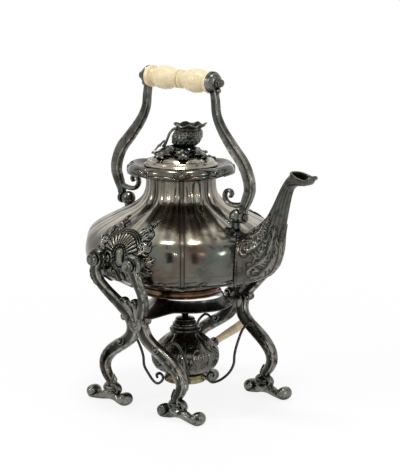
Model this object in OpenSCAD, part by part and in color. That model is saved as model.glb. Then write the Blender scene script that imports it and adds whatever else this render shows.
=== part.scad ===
// Spirit kettle on a four-legged stand, with a burner hung below it.
// Lengths are millimetres and angles are degrees.
// +X runs toward the spout, +Y toward the back frame and +Z is up.
// The origin is on the table, below the middle of the whole object.

/* [Kettle body] */
// Largest radius over the lobes
body_r = 108.5; // [104:0.5:112]
// Height of the widest ring
belly_z = 175; // [170:1:180]
// Radius of the hem where the body turns under
base_r = 66; // [60:1:70]
// Height of the flat bottom
base_z = 131; // [129:0.5:134]
// Radius of the neck
neck_r = 39; // [37:0.5:41]
// Height of the top of the neck
neck_z = 252; // [248:1:256]
// Number of lobes round the body
lobes = 8; // [6:2:12]
// Depth of the seams between the lobes
seam = 4.5; // [1:0.5:6]
// Rise of the hem in the middle of each lobe
hem_rise = 5; // [0:0.5:6]
// Thickness of the sheet metal
sheet = 1.4; // [1:0.1:2]
// Outer radius of the ring that the kettle stands on
foot_ring_r = 44.5; // [40:0.5:50]
// Height of the ring that the kettle stands on
foot_ring_h = 9; // [6:0.5:9]

/* [Mouth and lid] */
// Outer radius of the rolled border round the mouth
rim_r = 60.5; // [56:0.5:64]
// Height of the rolled border above the neck
rim_h = 16; // [14:0.5:18]
// Radius of the lid over its bead
lid_r = 41; // [40:0.25:42]
// Rise of the lid's dome above its bead
dome_h = 16; // [10:0.5:20]
// Depth of the flange that drops into the mouth
lid_flange = 6; // [3:0.5:8]
// Radius of the lid's hinge pin
hinge_pin_r = 1; // [0.8:0.1:1.2]
// Height of the flower bud on the lid
bud_h = 27; // [20:1:30]
// Radius of the flower bud
bud_r = 17.5; // [14:0.5:20]

/* [Spout] */
// Reach of the lip beyond the widest lobe
spout_out = 84.5; // [78:0.5:92]
// Height of the back of the spout's mouth
spout_z = 275.5; // [268:0.5:282]
// Height of the spout's root above the table
root_z = 172; // [168:1:176]
// Half width of the spout's root
root_w = 26; // [20:1:30]
// Half height of the spout's root
root_h = 31; // [26:1:33]
// Half width of the spout's lip
lip_w = 9; // [7:0.5:11]

/* [Handle] */
// Distance of each handle lug in from the widest lobe
lug_in = 24.9; // [22:0.1:28]
// Height of the handle's swing axis above the shoulder
lug_h = 10.7; // [10:0.1:12]
// Radius of the ball on each lug
ball_r = 8; // [6.5:0.5:8]
// Radius of the pins that the handle swings on
lug_pin_r = 2; // [1.6:0.1:2.4]
// Height of the middle of the grip
grip_z = 360; // [352:1:380]
// Half length of the turned grip
grip_half = 46.6; // [42:0.2:50]
// Largest radius of the grip
grip_r = 13.4; // [11:0.2:15]
// Reach of the handle's arms beyond the widest lobe
arm_out = 0.5; // [-2:0.5:4]
// Radius of the rod inside the grip
rod_r = 2.5; // [2:0.1:3]

/* [Stand] */
// Distance from the kettle's axis forward to the stand's middle
stand_shift = 12; // [8:0.5:16]
// Half the distance between the two heads of one frame
pivot_dx = 27; // [25:0.5:30]
// Height of the pins that carry the kettle
pivot_z = 174; // [171:0.5:177]
// Radius of the pins that carry the kettle
pivot_r = 2.5; // [2:0.1:3]
// Radius of the round heads of the frames
head_r = 8; // [7:0.5:9]
// Thickness of the round heads of the frames
head_t = 8; // [6:0.5:10]
// Gap between the widest lobe and the heads
head_gap = 1.5; // [1:0.25:4]
// Height of the waist where the scrolls of a frame meet
waist_z = 99; // [95:1:103]
// Distance of each waist from the stand's middle
waist_y = 80; // [78:1:86]
// Distance of each foot from the stand's middle along the frame
foot_dx = 51; // [46:1:56]
// Distance of each foot from the stand's middle across the frames
foot_y = 70; // [66:1:76]
// Width of each foot across its scrolls
foot_w = 12; // [9:0.5:14]
// Radius of the apron between the frames
apron_r = 48; // [46:0.5:52]
// Height of the lower edge of the apron
apron_z = 110.5; // [108:0.5:112]
// Thickness of the wire of the burner's brackets
wire = 3; // [2.4:0.2:3.4]

/* [Burner] */
// Distance from the stand's middle back to the burner's axis
burner_back = 6; // [0:0.5:8]
// Largest radius of the burner over its lobes
burner_r = 38.6; // [35:0.2:40]
// Height of the burner's widest ring
burner_z = 50; // [48:0.5:52]
// Radius of the ring below the burner
burner_foot_r = 23.5; // [21:0.5:24]
// Height of the lower edge of that ring
burner_foot_z = 21; // [19:0.5:22]
// Height of the top of the burner's neck
burner_top = 78; // [75:0.5:80]
// Radius of the collar on the burner's neck
collar_r = 17.5; // [16:0.5:19]
// Radius of the wick
wick_r = 3; // [2:0.2:3.4]
// Length of the side handle outside its socket
side_handle = 62; // [50:1:70]

/* [Hidden] */

silver = "#8f8f86";
dark_silver = "#5f605b";
ivory = "#e9dcb8";
run = 0.05;

// Places that several pieces share
arm_reach = body_r + arm_out;
spout_reach = body_r + spout_out;
lug_x = body_r - lug_in;
kettle_x = -(spout_reach - arm_reach) / 2;
stand_x = kettle_x + stand_shift;
burner_x = stand_x - burner_back;
head_y = body_r + head_gap + head_t / 2;
pivot_x = stand_x + pivot_dx;
rest_x = stand_x - pivot_dx;
seat_z = neck_z + rim_h - 3.5;
hinge_y = lid_r + 2.5;
hinge_z = seat_z + 3.8;

// Small helpers for numbers and vectors
function mix(a, b, t) = a + (b - a) * t;
function unit(v) = v / norm(v);

// One point of a smooth curve between b and c
function curve(a, b, c, d, t) =
    (2 * b + (c - a) * t + (2 * a - 5 * b + 4 * c - d) * t * t
    + (3 * b - a - 3 * c + d) * t * t * t) / 2;

// A smooth curve through rows of numbers, with n steps between rows
function smooth(p, n) =
    let (m = len(p) - 1)
    [for (i = [0:m - 1], k = [0:n - 1])
        curve(p[max(i - 1, 0)], p[i], p[i + 1], p[min(i + 2, m)], k / n), p[m]];

// Points of a flat spiral from radius r0 to r1 and from angle a0 to a1
function spiral(c, r0, r1, a0, a1, n) =
    [for (k = [0:n]) let (a = mix(a0, a1, k / n), r = mix(r0, r1, k / n))
        [c[0] + r * cos(a), c[1] + r * sin(a)]];

// A round of points whose edge has n lobes, each seam as deep as d and w lower
function lobed(r, z, d, w = 0, n = lobes, steps = 5) =
    [for (k = [0:n * steps - 1])
        let (a = 360 * k / (n * steps), s = pow(abs(sin(n * a / 2)), 0.6))
        [(r - d * (1 - s)) * cos(a), (r - d * (1 - s)) * sin(a), z - w * (1 - s)]];

// A closed skin over a list of rings, which joins its ends or caps them
module skin(rings, closed = false) {
    n = len(rings[0]);
    m = len(rings);
    last = closed ? m - 1 : m - 2;
    all = [for (r = rings) each r];
    first_mid = [for (v = [0:2]) [for (p = rings[0]) p[v]] * [for (p = rings[0]) 1] / n];
    last_mid = [for (v = [0:2]) [for (p = rings[m - 1]) p[v]] * [for (p = rings[0]) 1] / n];
    walls = [for (i = [0:last], k = [0:n - 1])
        let (a = i * n + k, b = i * n + (k + 1) % n, j = (i + 1) % m,
            c = j * n + (k + 1) % n, d = j * n + k)
        each [[a, c, b], [a, d, c]]];
    caps = [for (k = [0:n - 1]) let (e = (m - 1) * n)
        each [[k, (k + 1) % n, m * n], [e + (k + 1) % n, e + k, m * n + 1]]];
    polyhedron(closed ? all : concat(all, [first_mid, last_mid]),
        closed ? walls : concat(walls, caps), convexity = 10);
}

// A bar along rows of [x, y, z, width, thickness], whose thickness lies along side
module bar(rows, side = [0, 1, 0], sides = 8) {
    m = len(rows) - 1;
    p = [for (r = rows) [r[0], r[1], r[2]]];
    grow = 0.5 / cos(180 / sides);
    skin([for (i = [0:m])
        let (t = unit(p[min(i + 1, m)] - p[max(i - 1, 0)]), n = unit(cross(side, t)),
            b = cross(t, n))
        [for (k = [0:sides - 1]) let (a = (k + 0.5) * 360 / sides)
            p[i] + n * rows[i][3] * grow * cos(a) + b * rows[i][4] * grow * sin(a)]]);
}

// Lays a piece that is turned about Z along the X or the Y axis
module along_x() rotate([0, 90, 0]) children();
module along_y() rotate([-90, 0, 0]) children();

// Puts a piece on both sides: the front and the rear end, or the near and the far side
module both_ends(x = 0) for (s = [-1, 1]) translate([x, 0, 0]) scale_x(s) children();
module scale_x(s) if (s > 0) children(); else mirror([1, 0, 0]) children();
module scale_y(s) if (s > 0) children(); else mirror([0, 1, 0]) children();

// KETTLE BODY

// Rows of [share of radius, share of height, share of seam depth] below and above the belly
lower_shape = [[0, 0, 0.8], [0.26, 0.08, 0.9], [0.57, 0.22, 1], [0.79, 0.42, 1], [0.94, 0.68, 1]];
upper_shape = [[0.95, 0.2, 1.1], [0.81, 0.33, 1.2], [0.53, 0.465, 1.3], [0.3, 0.565, 1.2],
    [0.12, 0.67, 1], [0.03, 0.8, 0.6]];
body_rows = smooth(concat(
    [for (s = lower_shape) [mix(base_r, body_r, s[0]), mix(base_z, belly_z, s[1]), s[2] * seam]],
    [[body_r, belly_z, seam]],
    [for (s = upper_shape) [mix(neck_r, body_r, s[0]), mix(belly_z, neck_z, s[1]), s[2] * seam]],
    [[neck_r, neck_z, 0]]), 2);
inner_rows = [for (i = [len(body_rows) - 1:-3:0]) let (r = body_rows[i])
    [r[0] - sheet - r[2] * 0.25, max(r[1], base_z + sheet), r[2]]];
profile_z = [for (r = body_rows) [r[1], r[0]]];
function body_at(z) = lookup(z, profile_z);

// Height of the shoulder at a distance r from the kettle's axis
function shoulder_at(r) = lookup(-r, [for (p = body_rows) if (p[1] >= belly_z) [-p[0], p[1]]]);
lug_z = shoulder_at(lug_x) + lug_h;

module kettle_body() {
    color(silver)
    translate([kettle_x, 0, 0])
    difference() {
        skin(concat(
            [lobed(base_r - 8, base_z, 0), lobed(base_r - 1, base_z + hem_rise - 0.6, 2, hem_rise)],
            [lobed(body_rows[0][0] + 1.2, base_z + hem_rise + 1.4, 2, hem_rise)],
            [for (i = [1:len(body_rows) - 1]) let (r = body_rows[i]) lobed(r[0], r[1], r[2])],
            [for (r = inner_rows) lobed(r[0], r[1], r[2])]));
        translate([body_r - 30, 0, root_z]) along_x() cylinder(r = strainer_r, h = 40, $fn = 48);
    }
}

strainer_r = root_w - 8;
strainer_x = body_r - sheet - 7.5;

// Pierced disc in the wall behind the spout
module strainer() {
    hole = 1.6;
    color(silver)
    translate([kettle_x + strainer_x, 0, root_z]) along_x() difference() {
        union() {
            cylinder(r = strainer_r - run, h = 5, $fn = 48);
            translate([0, 0, -1]) cylinder(r = strainer_r + 2, h = 1, $fn = 48);
        }
        translate([0, 0, 1]) cylinder(r = strainer_r - 1.5, h = 5, $fn = 48);
        translate([0, 0, -2]) cylinder(r = hole, h = 4, $fn = 24);
        for (ring = [1, 2], k = [0:ring * 6 - 1]) rotate([0, 0, k * 60 / ring])
            translate([ring * 5.8, 0, -2]) cylinder(r = hole, h = 4, $fn = 24);
    }
}

module kettle_foot() {
    color("#a3845f")
    translate([kettle_x, 0, base_z - foot_ring_h]) rotate_extrude($fn = 96)
        polygon([[foot_ring_r - 3, 0], [foot_ring_r, 0], [foot_ring_r + 0.6, 1.2],
            [foot_ring_r - 0.8, 3], [foot_ring_r - 0.8, foot_ring_h - 2],
            [foot_ring_r + 2, foot_ring_h], [foot_ring_r - 4, foot_ring_h],
            [foot_ring_r - 3, foot_ring_h - 2]]);
}

// Rolled border, whose crest follows the lobes
rim_section = [[0, 0, 0], [6.5, 2.6, 0.2], [13.5, 4, 0.5], [19, 6, 1], [21.5, 10, 1],
    [19.5, 14.2, 1], [15.5, 16, 0.8], [11.5, 14.6, 0.5], [8, 12.2, 0.2], [5, 11.6, 0],
    [2.6, 12.5, 0], [-1.5, 12.5, 0], [-1.5, 0, 0]];

module mouth_rim() {
    roll = rim_r - neck_r;
    color(silver)
    translate([kettle_x, 0, neck_z]) difference() {
        union() {
            skin([for (s = rim_section)
                lobed(neck_r + s[0] * roll / 21.5, s[1] * rim_h / 16, 2.4 * s[2], 1.6 * s[2])],
                closed = true);
            for (s = [-1, 1]) translate([s * 7.6, hinge_y, hinge_z - neck_z]) rim_knuckle();
        }
        translate([-12, hinge_y, hinge_z - neck_z]) along_x()
            cylinder(r = hinge_pin_r + run, h = 24, $fn = 24);
    }
}

module rim_knuckle() {
    translate([-2.4, 0, 0]) along_x() cylinder(r = 2.4, h = 4.8, $fn = 32);
    translate([-2.4, -2, -5.5]) cube([4.8, 4, 5.5]);
}

// SPOUT

// Rows of the upper edge, the lower edge and the half width, from the root to the lip
spout_rows = [[104, 204.5, 112, 150, 0.96], [114, 208.5, 127, 158, 0.87],
    [122, 214.5, 139, 168, 0.75], [128.5, 220.5, 145.5, 182, 0.65], [133, 227, 148, 200, 0.57],
    [136.5, 233, 151, 214, 0.5], [141, 241, 155, 230, 0.4], [146, 250, 159, 246, 0.31],
    [151, 258.5, 163, 257, 0.27], [156.5, 266.5, 169.5, 264, 0.27],
    [159.5, 271, 180, 268.5, 0.3], [163, 275.5, 193, 272, 0.34]];
function spout_px(x) = body_r + (x - 108.5) * spout_out / 84.5;
function spout_pz(z) = z < 190 ? z + root_z - 172
    : mix(root_z + 18, spout_z, (z - 190) / 85.5);

// One ring of the spout, set in from the outside by w
function spout_ring(i, w) =
    let (s = spout_rows[i], up = [spout_px(s[0]), 0, spout_pz(s[1])],
        low = [spout_px(s[2]), 0, spout_pz(s[3])], c = (up + low) / 2, n = unit(up - low),
        a = norm(up - low) / 2 - w,
        b = mix(s[4] * root_w, lip_w, i / (len(spout_rows) - 1)) - w)
    [for (k = [0:19]) let (t = k * 18) c + n * a * cos(t) - [0, 1, 0] * b * sin(t)];

// The root's edge, which lies in the body's wall
function root_ring(w) =
    [for (k = [0:19])
        let (t = k * 18, y = -(root_w - w) * sin(t), z = root_z + (root_h - w) * cos(t),
            r = body_at(z) - 2.5)
        [sqrt(r * r - y * y), y, z]];

module spout() {
    last = len(spout_rows) - 1;
    color(dark_silver)
    translate([kettle_x, 0, 0])
    skin(concat([root_ring(0)], [for (i = [0:last]) spout_ring(i, 0)],
        [for (i = [last:-1:0]) spout_ring(i, sheet)], [root_ring(sheet)]), closed = true);
}

// LUGS AND PINS ON THE KETTLE

// Ball on a stem, bored for the handle's pin
module handle_lugs() {
    color(dark_silver)
    both_ends(kettle_x) translate([lug_x, 0, lug_z]) difference() {
        union() {
            intersection() {
                sphere(r = ball_r, $fn = 48);
                cube([ball_r * 1.9, ball_r * 2, ball_r * 2], center = true);
            }
            translate([0, 0, -ball_r - 5]) cylinder(r = 4.5, h = ball_r, $fn = 32);
        }
        translate([-ball_r - 1, 0, 0]) along_x()
            cylinder(r = lug_pin_r + run, h = 2 * ball_r + 2, $fn = 32);
    }
}

eye_x = lug_x + ball_r * 0.95 + 0.6;
eye_t = 4;

module lug_pins() {
    color(silver)
    both_ends(kettle_x) translate([lug_x - ball_r, 0, lug_z]) along_x() {
        cylinder(r = lug_pin_r, h = eye_x + eye_t - lug_x + ball_r + 0.4, $fn = 32);
        translate([0, 0, eye_x + eye_t - lug_x + ball_r + 0.3]) rotate_extrude($fn = 32)
            polygon([[0, 0], [lug_pin_r + 2.4, 0], [lug_pin_r + 2.4, 0.8], [lug_pin_r + 1, 1.8],
                [0, 2.2]]);
    }
}

trunnion_y = head_y - head_t / 2 - 0.4;

// Front bosses of the body, bored for the pivot pins
module trunnions() {
    color(dark_silver)
    for (s = [-1, 1]) scale_y(s)
        translate([pivot_x, trunnion_y, pivot_z]) rotate([90, 0, 0]) difference() {
            union() {
                cylinder(r = pivot_r + 3.5, h = trunnion_y - trunnion_root, $fn = 40);
                cylinder(r = pivot_r + 2.5, h = trunnion_y - trunnion_root + 2, $fn = 40);
            }
            translate([0, 0, -1]) cylinder(r = pivot_r + run, h = pin_depth + 2, $fn = 40);
        }
}

trunnion_root = sqrt(pow(body_r, 2) - pow(stand_shift + pivot_dx, 2)) - seam;
pin_depth = 6.5;

// Rear studs of the body, which lie in the open heads of the frames
module rest_studs() {
    inner = sqrt(pow(body_r, 2) - pow(stand_shift - pivot_dx, 2)) - seam - 2;
    color(dark_silver)
    for (s = [-1, 1]) scale_y(s) translate([rest_x, inner, pivot_z]) along_y() {
        cylinder(r = pivot_r + 2.5, h = trunnion_y - inner, $fn = 40);
        cylinder(r = pivot_r, h = head_y + head_t / 2 + 1 - inner, $fn = 40);
        translate([0, 0, head_y + head_t / 2 + 0.4 - inner]) boss();
    }
}

// Turned button with rings, the outer end of each pin and stud
module boss() {
    rotate_extrude($fn = 40)
        polygon([[0, 0], [5.4, 0], [6.5, 1], [6.5, 2.6], [5.2, 3.4], [5.2, 4.2], [6, 5],
            [5.6, 6.2], [3.6, 6.4], [3.4, 7.4], [1.6, 8], [0, 8]]);
}

module pivot_pin(s) {
    color(dark_silver)
    scale_y(s) translate([pivot_x, trunnion_y - pin_depth, pivot_z]) along_y() {
        cylinder(r = pivot_r, h = pin_depth + head_t + 1.5, $fn = 40);
        translate([0, 0, pin_depth + head_t + 0.8]) boss();
    }
}

module near_pivot_pin() pivot_pin(-1);
module far_pivot_pin() pivot_pin(1);

// LID

dome_rows = [[38.2, 3.6], [35, 6.9], [29.5, 10.2], [22, 13], [13.5, 15.1], [6, 16]];

module lid() {
    grow = lid_r / 41;
    rise = dome_h / 16;
    wall = 1.5;
    flange_r = neck_r - 2.2;
    color(silver)
    translate([kettle_x, 0, seat_z]) difference() {
        union() {
            rotate_extrude($fn = 96) polygon(concat(
                [[flange_r - wall, -lid_flange], [flange_r, -lid_flange], [flange_r, 0.3],
                    [lid_r - 0.6, 0.3], [lid_r, 1.2], [lid_r - 0.6, 2.6]],
                [for (p = dome_rows) [p[0] * grow, p[1] * rise]],
                [[0, dome_h + 0.4], [0, dome_h - wall]],
                [for (i = [len(dome_rows) - 1:-1:1])
                    [dome_rows[i][0] * grow - 0.8, dome_rows[i][1] * rise - wall]],
                [[flange_r - wall, 2]]));
            translate([0, hinge_y, hinge_z - seat_z]) {
                translate([-4.9, 0, 0]) along_x() cylinder(r = 2.4, h = 9.8, $fn = 32);
                translate([-4.9, -6, -2]) cube([9.8, 6, 2.6]);
            }
        }
        translate([-8, hinge_y, hinge_z - seat_z]) along_x()
            cylinder(r = hinge_pin_r + run, h = 16, $fn = 24);
        translate([0, 0, dome_h - 3]) cylinder(r = finial_screw_r + run, h = 6, $fn = 24);
    }
}

module lid_hinge_pin() {
    color(silver)
    translate([kettle_x - 10.4, hinge_y, hinge_z]) along_x()
        cylinder(r = hinge_pin_r, h = 20.8, $fn = 24);
}

finial_screw_r = 1.5;
finial_z = seat_z + dome_h + 0.5;
finial_lean = [5, 5];
finial_shift = [2.5, 2.5];

// Veined leaves that spread over the top of the dome
module finial_leaves() {
    color(dark_silver)
    translate([kettle_x, 0, finial_z]) difference() {
        union() {
            cylinder(r = 8, h = 2.4, $fn = 40);
            for (a = [20:60:320]) rotate([0, 0, a])
                bar([for (p = smooth([[4, 1.4, 4, 2.4], [12, 1.4, 13, 2.2], [21, -1.2, 15, 1.8],
                    [28, -4.4, 9, 1.6], [32, -4.6, 3, 1.4]], 2)) [p[0], 0, p[1], p[3], p[2]]],
                    sides = 6);
        }
        translate([0, 0, -1]) cylinder(r = finial_screw_r + run, h = 6, $fn = 24);
    }
}

// Flower bud, open at the top, leaning on its stalk
bud_rows = [[5, 0, 0], [7.5, 0.05, 0.5], [12.5, 0.22, 1.5], [15.5, 0.45, 2], [15.2, 0.65, 2],
    [12.5, 0.8, 1.5], [13.6, 0.93, 2], [14.4, 1, 2.4], [12.2, 0.99, 2], [9, 0.86, 1],
    [4, 0.8, 0]];

module finial_bud() {
    stalk = [[0, 0, 1, 6, 6], [-3, -3, 6, 5, 5], [-9, -8, 13, 4.5, 4.5], [-17, -15, 16, 4, 4],
        [-24, -19, 12, 4, 4], [-27, -21, 5, 4, 4], [-26, -20, 0, 5, 5]];
    color(silver)
    translate([kettle_x, 0, finial_z + 2.5]) {
        skin([for (r = bud_rows) let (t = r[1])
            [for (p = lobed(r[0] * bud_r / 15.5, t * bud_h, r[2], -r[2] * 0.5, 8, 4))
                p + [finial_shift[0] + finial_lean[0] * t, finial_shift[1] + finial_lean[1] * t,
                    0]]]);
        translate([0, 0, -5]) cylinder(r = finial_screw_r, h = 6, $fn = 24);
    }
    color(silver)
    translate([kettle_x, 0, finial_z + 1.5]) bar(smooth(stalk, 2), side = [1, -1, 0], sides = 6);
}

module finial_nut() {
    color(silver)
    translate([kettle_x, 0, finial_z - 5.6]) difference() {
        cylinder(r = 3.6, h = 2.6, $fn = 6);
        translate([0, 0, -1]) cylinder(r = finial_screw_r + run, h = 5, $fn = 24);
    }
}

// BAIL HANDLE

cap_x = grip_half + 0.2;

// Rows of [share out from the cap to the reach, share of height, width, thickness]
upper_arm_rows = [[0, 0.985, 7, 8], [0, 0.93, 7.5, 8], [0.03, 0.85, 8, 8], [0.07, 0.75, 8.5, 8],
    [0.24, 0.64, 10, 8.5], [0.53, 0.52, 12, 9], [0.82, 0.41, 13, 9], [0.99, 0.305, 13, 9]];
// Rows of [share out from the eye to the reach, share of height, rise, width, thickness]
lower_arm_rows = [[1.06, 0.215, 0, 12, 9], [0.59, 0.14, 0, 10.5, 8.5], [0.1, 0, 10.7, 8.5, 8],
    [0.05, 0, 5.4, 8, 7]];
// Rows of [distance out from the lug, height above it] of the curl behind each lug
curl_rows = [[9, 14], [0.5, 12.4], [-8, 12.4], [-14, 15], [-17, 20.5], [-15, 26], [-9.5, 27.5],
    [-6.5, 24], [-8.5, 20.6]];

module arm() {
    out = arm_reach - 6.5;
    color(dark_silver)
    difference() {
        union() {
            bar(smooth(concat(
                [for (r = upper_arm_rows)
                    [mix(cap_x + 4, out, r[0]), 0, mix(lug_z, grip_z, r[1]), r[2], r[3]]],
                [for (r = lower_arm_rows)
                    [mix(eye_x + eye_t / 2, out, r[0]), 0, mix(lug_z, grip_z, r[1]) + r[2],
                        r[3], r[4]]]), 2));
            bar(smooth([for (i = [0:len(curl_rows) - 1])
                [lug_x + curl_rows[i][0], 0, lug_z + curl_rows[i][1] + ball_r - 8,
                    mix(6, 3.6, i / 8), 6.5]], 2), sides = 6);
            translate([eye_x, 0, lug_z]) along_x() cylinder(r = 6.5, h = eye_t, $fn = 40);
            translate([cap_x, 0, grip_z]) along_x() rotate_extrude($fn = 64)
                polygon([[0, 0], [11.4, 0], [12, 1], [11.6, 3], [10, 6], [7, 8.2], [0, 9]]);
        }
        translate([eye_x - 3, 0, lug_z]) along_x()
            cylinder(r = lug_pin_r + run, h = eye_t + 6, $fn = 32);
        translate([cap_x - 1, 0, grip_z]) along_x() cylinder(r = rod_r + run, h = 12, $fn = 32);
    }
}

module front_arm() translate([kettle_x, 0, 0]) arm();
module rear_arm() translate([kettle_x, 0, 0]) mirror([1, 0, 0]) arm();

// Half of the turned grip, as shares of its length and its largest radius
grip_shape = [[0, 0.6], [0.045, 0.76], [0.085, 0.76], [0.13, 0.62], [0.2, 0.72], [0.34, 0.92],
    [0.5, 1], [0.66, 0.93], [0.78, 0.74], [0.84, 0.64], [0.875, 0.72], [0.9, 0.88],
    [0.955, 0.93], [1, 0.89]];

module grip() {
    half = [for (p = grip_shape) [p[1] * grip_r, p[0] * grip_half]];
    color(ivory)
    translate([kettle_x, 0, grip_z]) along_x() rotate_extrude($fn = 72)
        polygon(concat([[rod_r + run, -grip_half]],
            [for (i = [len(half) - 1:-1:1]) [half[i][0], -half[i][1]]], half,
            [[rod_r + run, grip_half]]));
}

rod_end = cap_x + 15;

module tie_rod() {
    color(dark_silver)
    translate([kettle_x - rod_end + 1, 0, grip_z]) along_x()
        cylinder(r = rod_r, h = 2 * rod_end - 2, $fn = 32);
}

// Double beads that close the rod outside the arms
module end_nuts() {
    color(silver)
    both_ends(kettle_x) translate([cap_x + 9.1, 0, grip_z]) along_x() rotate_extrude($fn = 40)
        polygon([[rod_r + run, -0.4], [5.2, -0.2], [5.6, 1], [4.6, 2.2], [3.4, 2.8], [4.4, 4],
            [4.2, 5.4], [3, 6.6], [0, 7], [0, 5.2], [rod_r + run, 5.2]]);
}

// STAND

waist_dx = 7.5;
function frame_y(z) = lookup(z, [[0, foot_y], [60, foot_y + 4], [waist_z, waist_y],
    [mix(waist_z, pivot_z, 0.25), mix(waist_y, head_y, 0.2)],
    [mix(waist_z, pivot_z, 0.42), mix(waist_y, head_y, 0.44)],
    [mix(waist_z, pivot_z, 0.68), mix(waist_y, head_y, 0.83)], [pivot_z - 10, head_y]]);

// Rows of [share from waist to head, share of height, width, thickness]
upper_rows = [[1, 0.98, 11, 8], [1.17, 0.855, 10.5, 8], [1.23, 0.69, 10.5, 8],
    [1.02, 0.5, 11, 8], [0.61, 0.335, 11.5, 8.5], [0.2, 0.19, 12.5, 9], [0, 0.06, 14, 9]];
// Rows of [share from waist to foot, share of height, width, thickness]
lower_rows = [[0, 0.05, 15, 9], [0.1, 0.14, 14, 9], [0.33, 0.222, 13, 9], [0.63, 0.3, 13.5, 9.5],
    [0.93, 0.385, 13, 10], [1.14, 0.485, 12, 10], [1.2, 0.585, 11, 9.5], [1.13, 0.672, 10, 9],
    [1.02, 0.74, 9, 8.5], [1, 0.82, 9, 8.5], [1, 0.895, 9, 8.5]];
leg_rows = concat(
    [for (r = upper_rows) let (z = mix(waist_z, pivot_z, r[1]))
        [mix(waist_dx, pivot_dx, r[0]), frame_y(z), z, r[2], r[3]]],
    [for (r = lower_rows) let (z = mix(waist_z, 0, r[1]))
        [mix(waist_dx, foot_dx, r[0]), frame_y(z), z, r[2], r[3]]]);

// One scroll of a frame, from its head to its ankle
module leg() {
    bar(smooth(leg_rows, 2));
    volute(waist_dx + 7, waist_z + 7.5, 5, 9);
    volute(mix(waist_dx, foot_dx, 0.46), waist_z - 22.5, 4.8, 9);
    bar([for (p = knob_stem)
        [p[0], frame_y(waist_z + p[1]), waist_z + p[1], p[2], 7]], sides = 6);
    volute(8.8, waist_z + 27, 4.6, 8);
}

// Rows of [distance out, height above the waist, width] of a knob's stem between the arms
knob_stem = [[3, 9, 7], [3.8, 14, 6.5], [5, 19, 6], [6.6, 23.5, 6], [8, 26.5, 5]];

// Rolled end of a leaf, seen as a disc from the side
module volute(x, z, r, t) {
    translate([x, frame_y(z) - t / 2, z]) along_y() cylinder(r = r, h = t, $fn = 32);
}

module frame(s) {
    color(dark_silver)
    translate([stand_x, 0, 0]) scale_y(s) difference() {
        union() {
            both_ends() leg();
            both_ends() translate([pivot_dx, head_y - head_t / 2, pivot_z]) along_y()
                cylinder(r = head_r, h = head_t, $fn = 48);
            volute(0, waist_z + 2, 10, 9.5);
        }
        translate([pivot_dx, head_y - head_t, pivot_z]) along_y()
            cylinder(r = pivot_r + run, h = 2 * head_t, $fn = 40);
        translate([-pivot_dx, head_y - head_t, pivot_z]) along_y()
            cylinder(r = pivot_r + 0.15, h = 2 * head_t, $fn = 40);
        translate([-pivot_dx - pivot_r - 0.15, head_y - head_t, pivot_z])
            cube([2 * pivot_r + 1.2, 2 * head_t, head_r + 2]);
    }
}

module near_frame() frame(-1);
module far_frame() frame(1);

// Foot with a rolled toe at each end and a cuff round the ankle
module foot(sx, sy) {
    toe = 8;
    flat = concat(spiral([-19.5, toe + 2.5], 2.6, toe, -60, 270, 9),
        [[-6, 2.2], [12, 2.2]], spiral([29.5, toe + 2.5], toe, 2.6, -90, 240, 9));
    color(dark_silver)
    translate([stand_x + sx * foot_dx, sy * foot_y, 0]) scale_x(sx) scale_y(sy) difference() {
        union() {
            bar([for (p = flat) [p[0], 0, p[1], 5, foot_w]], sides = 6);
            translate([0, 0, 3]) rotate_extrude($fn = 40)
                polygon([[0, 0], [9, 0], [8, 3], [6.2, 8], [0, 8]]);
        }
        translate([-60, -30, -20]) cube([120, 60, 20]);
    }
}

module near_front_foot() foot(1, -1);
module near_rear_foot() foot(-1, -1);
module far_front_foot() foot(1, 1);
module far_rear_foot() foot(-1, 1);

apron_top = base_z - foot_ring_h - 0.6;
tip_y = waist_y - 5.2;

// Reach of the apron's edge, which runs out to a point at each frame
function apron_edge(a) = mix(apron_r, tip_y, apron_tip(a));
function apron_tip(a) = pow(abs(sin(a)), 30);

// One round of the apron: t runs from the top lip to the edge, and w is set in
function apron_ring_at(t, w) =
    [for (k = [0:47]) let (a = k * 7.5, tip = apron_tip(a),
        wave = pow(abs(cos(4 * a)), 0.6), r = mix(39, apron_edge(a) - 1.6 * (1 - wave), pow(t, 1.4)))
        [(r - w) * cos(a), (r - w) * sin(a),
            mix(apron_top, apron_z - 6 * tip, 1 - pow(1 - t, 1.25)) - w * 0.8]];

module apron_ring() {
    steps = [0, 0.3, 0.55, 0.8, 1];
    color("#7d756a")
    translate([stand_x, 0, 0])
    skin(concat([for (i = [4:-1:0]) apron_ring_at(steps[i], 0)],
        [for (t = steps) apron_ring_at(t, sheet)]), closed = true);
}

// Screws that hold the apron's points to the frames
module apron_screws() {
    z = apron_z - 7;
    color(silver)
    for (s = [-1, 1]) scale_y(s) translate([stand_x, tip_y - 3, z]) along_y() {
        cylinder(r = 1.6, h = 12, $fn = 24);
        translate([0, 0, -1.8]) cylinder(r = 3, h = 1.8, $fn = 32);
    }
}

bracket_dx = 34;
bracket_y = 37;

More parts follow.
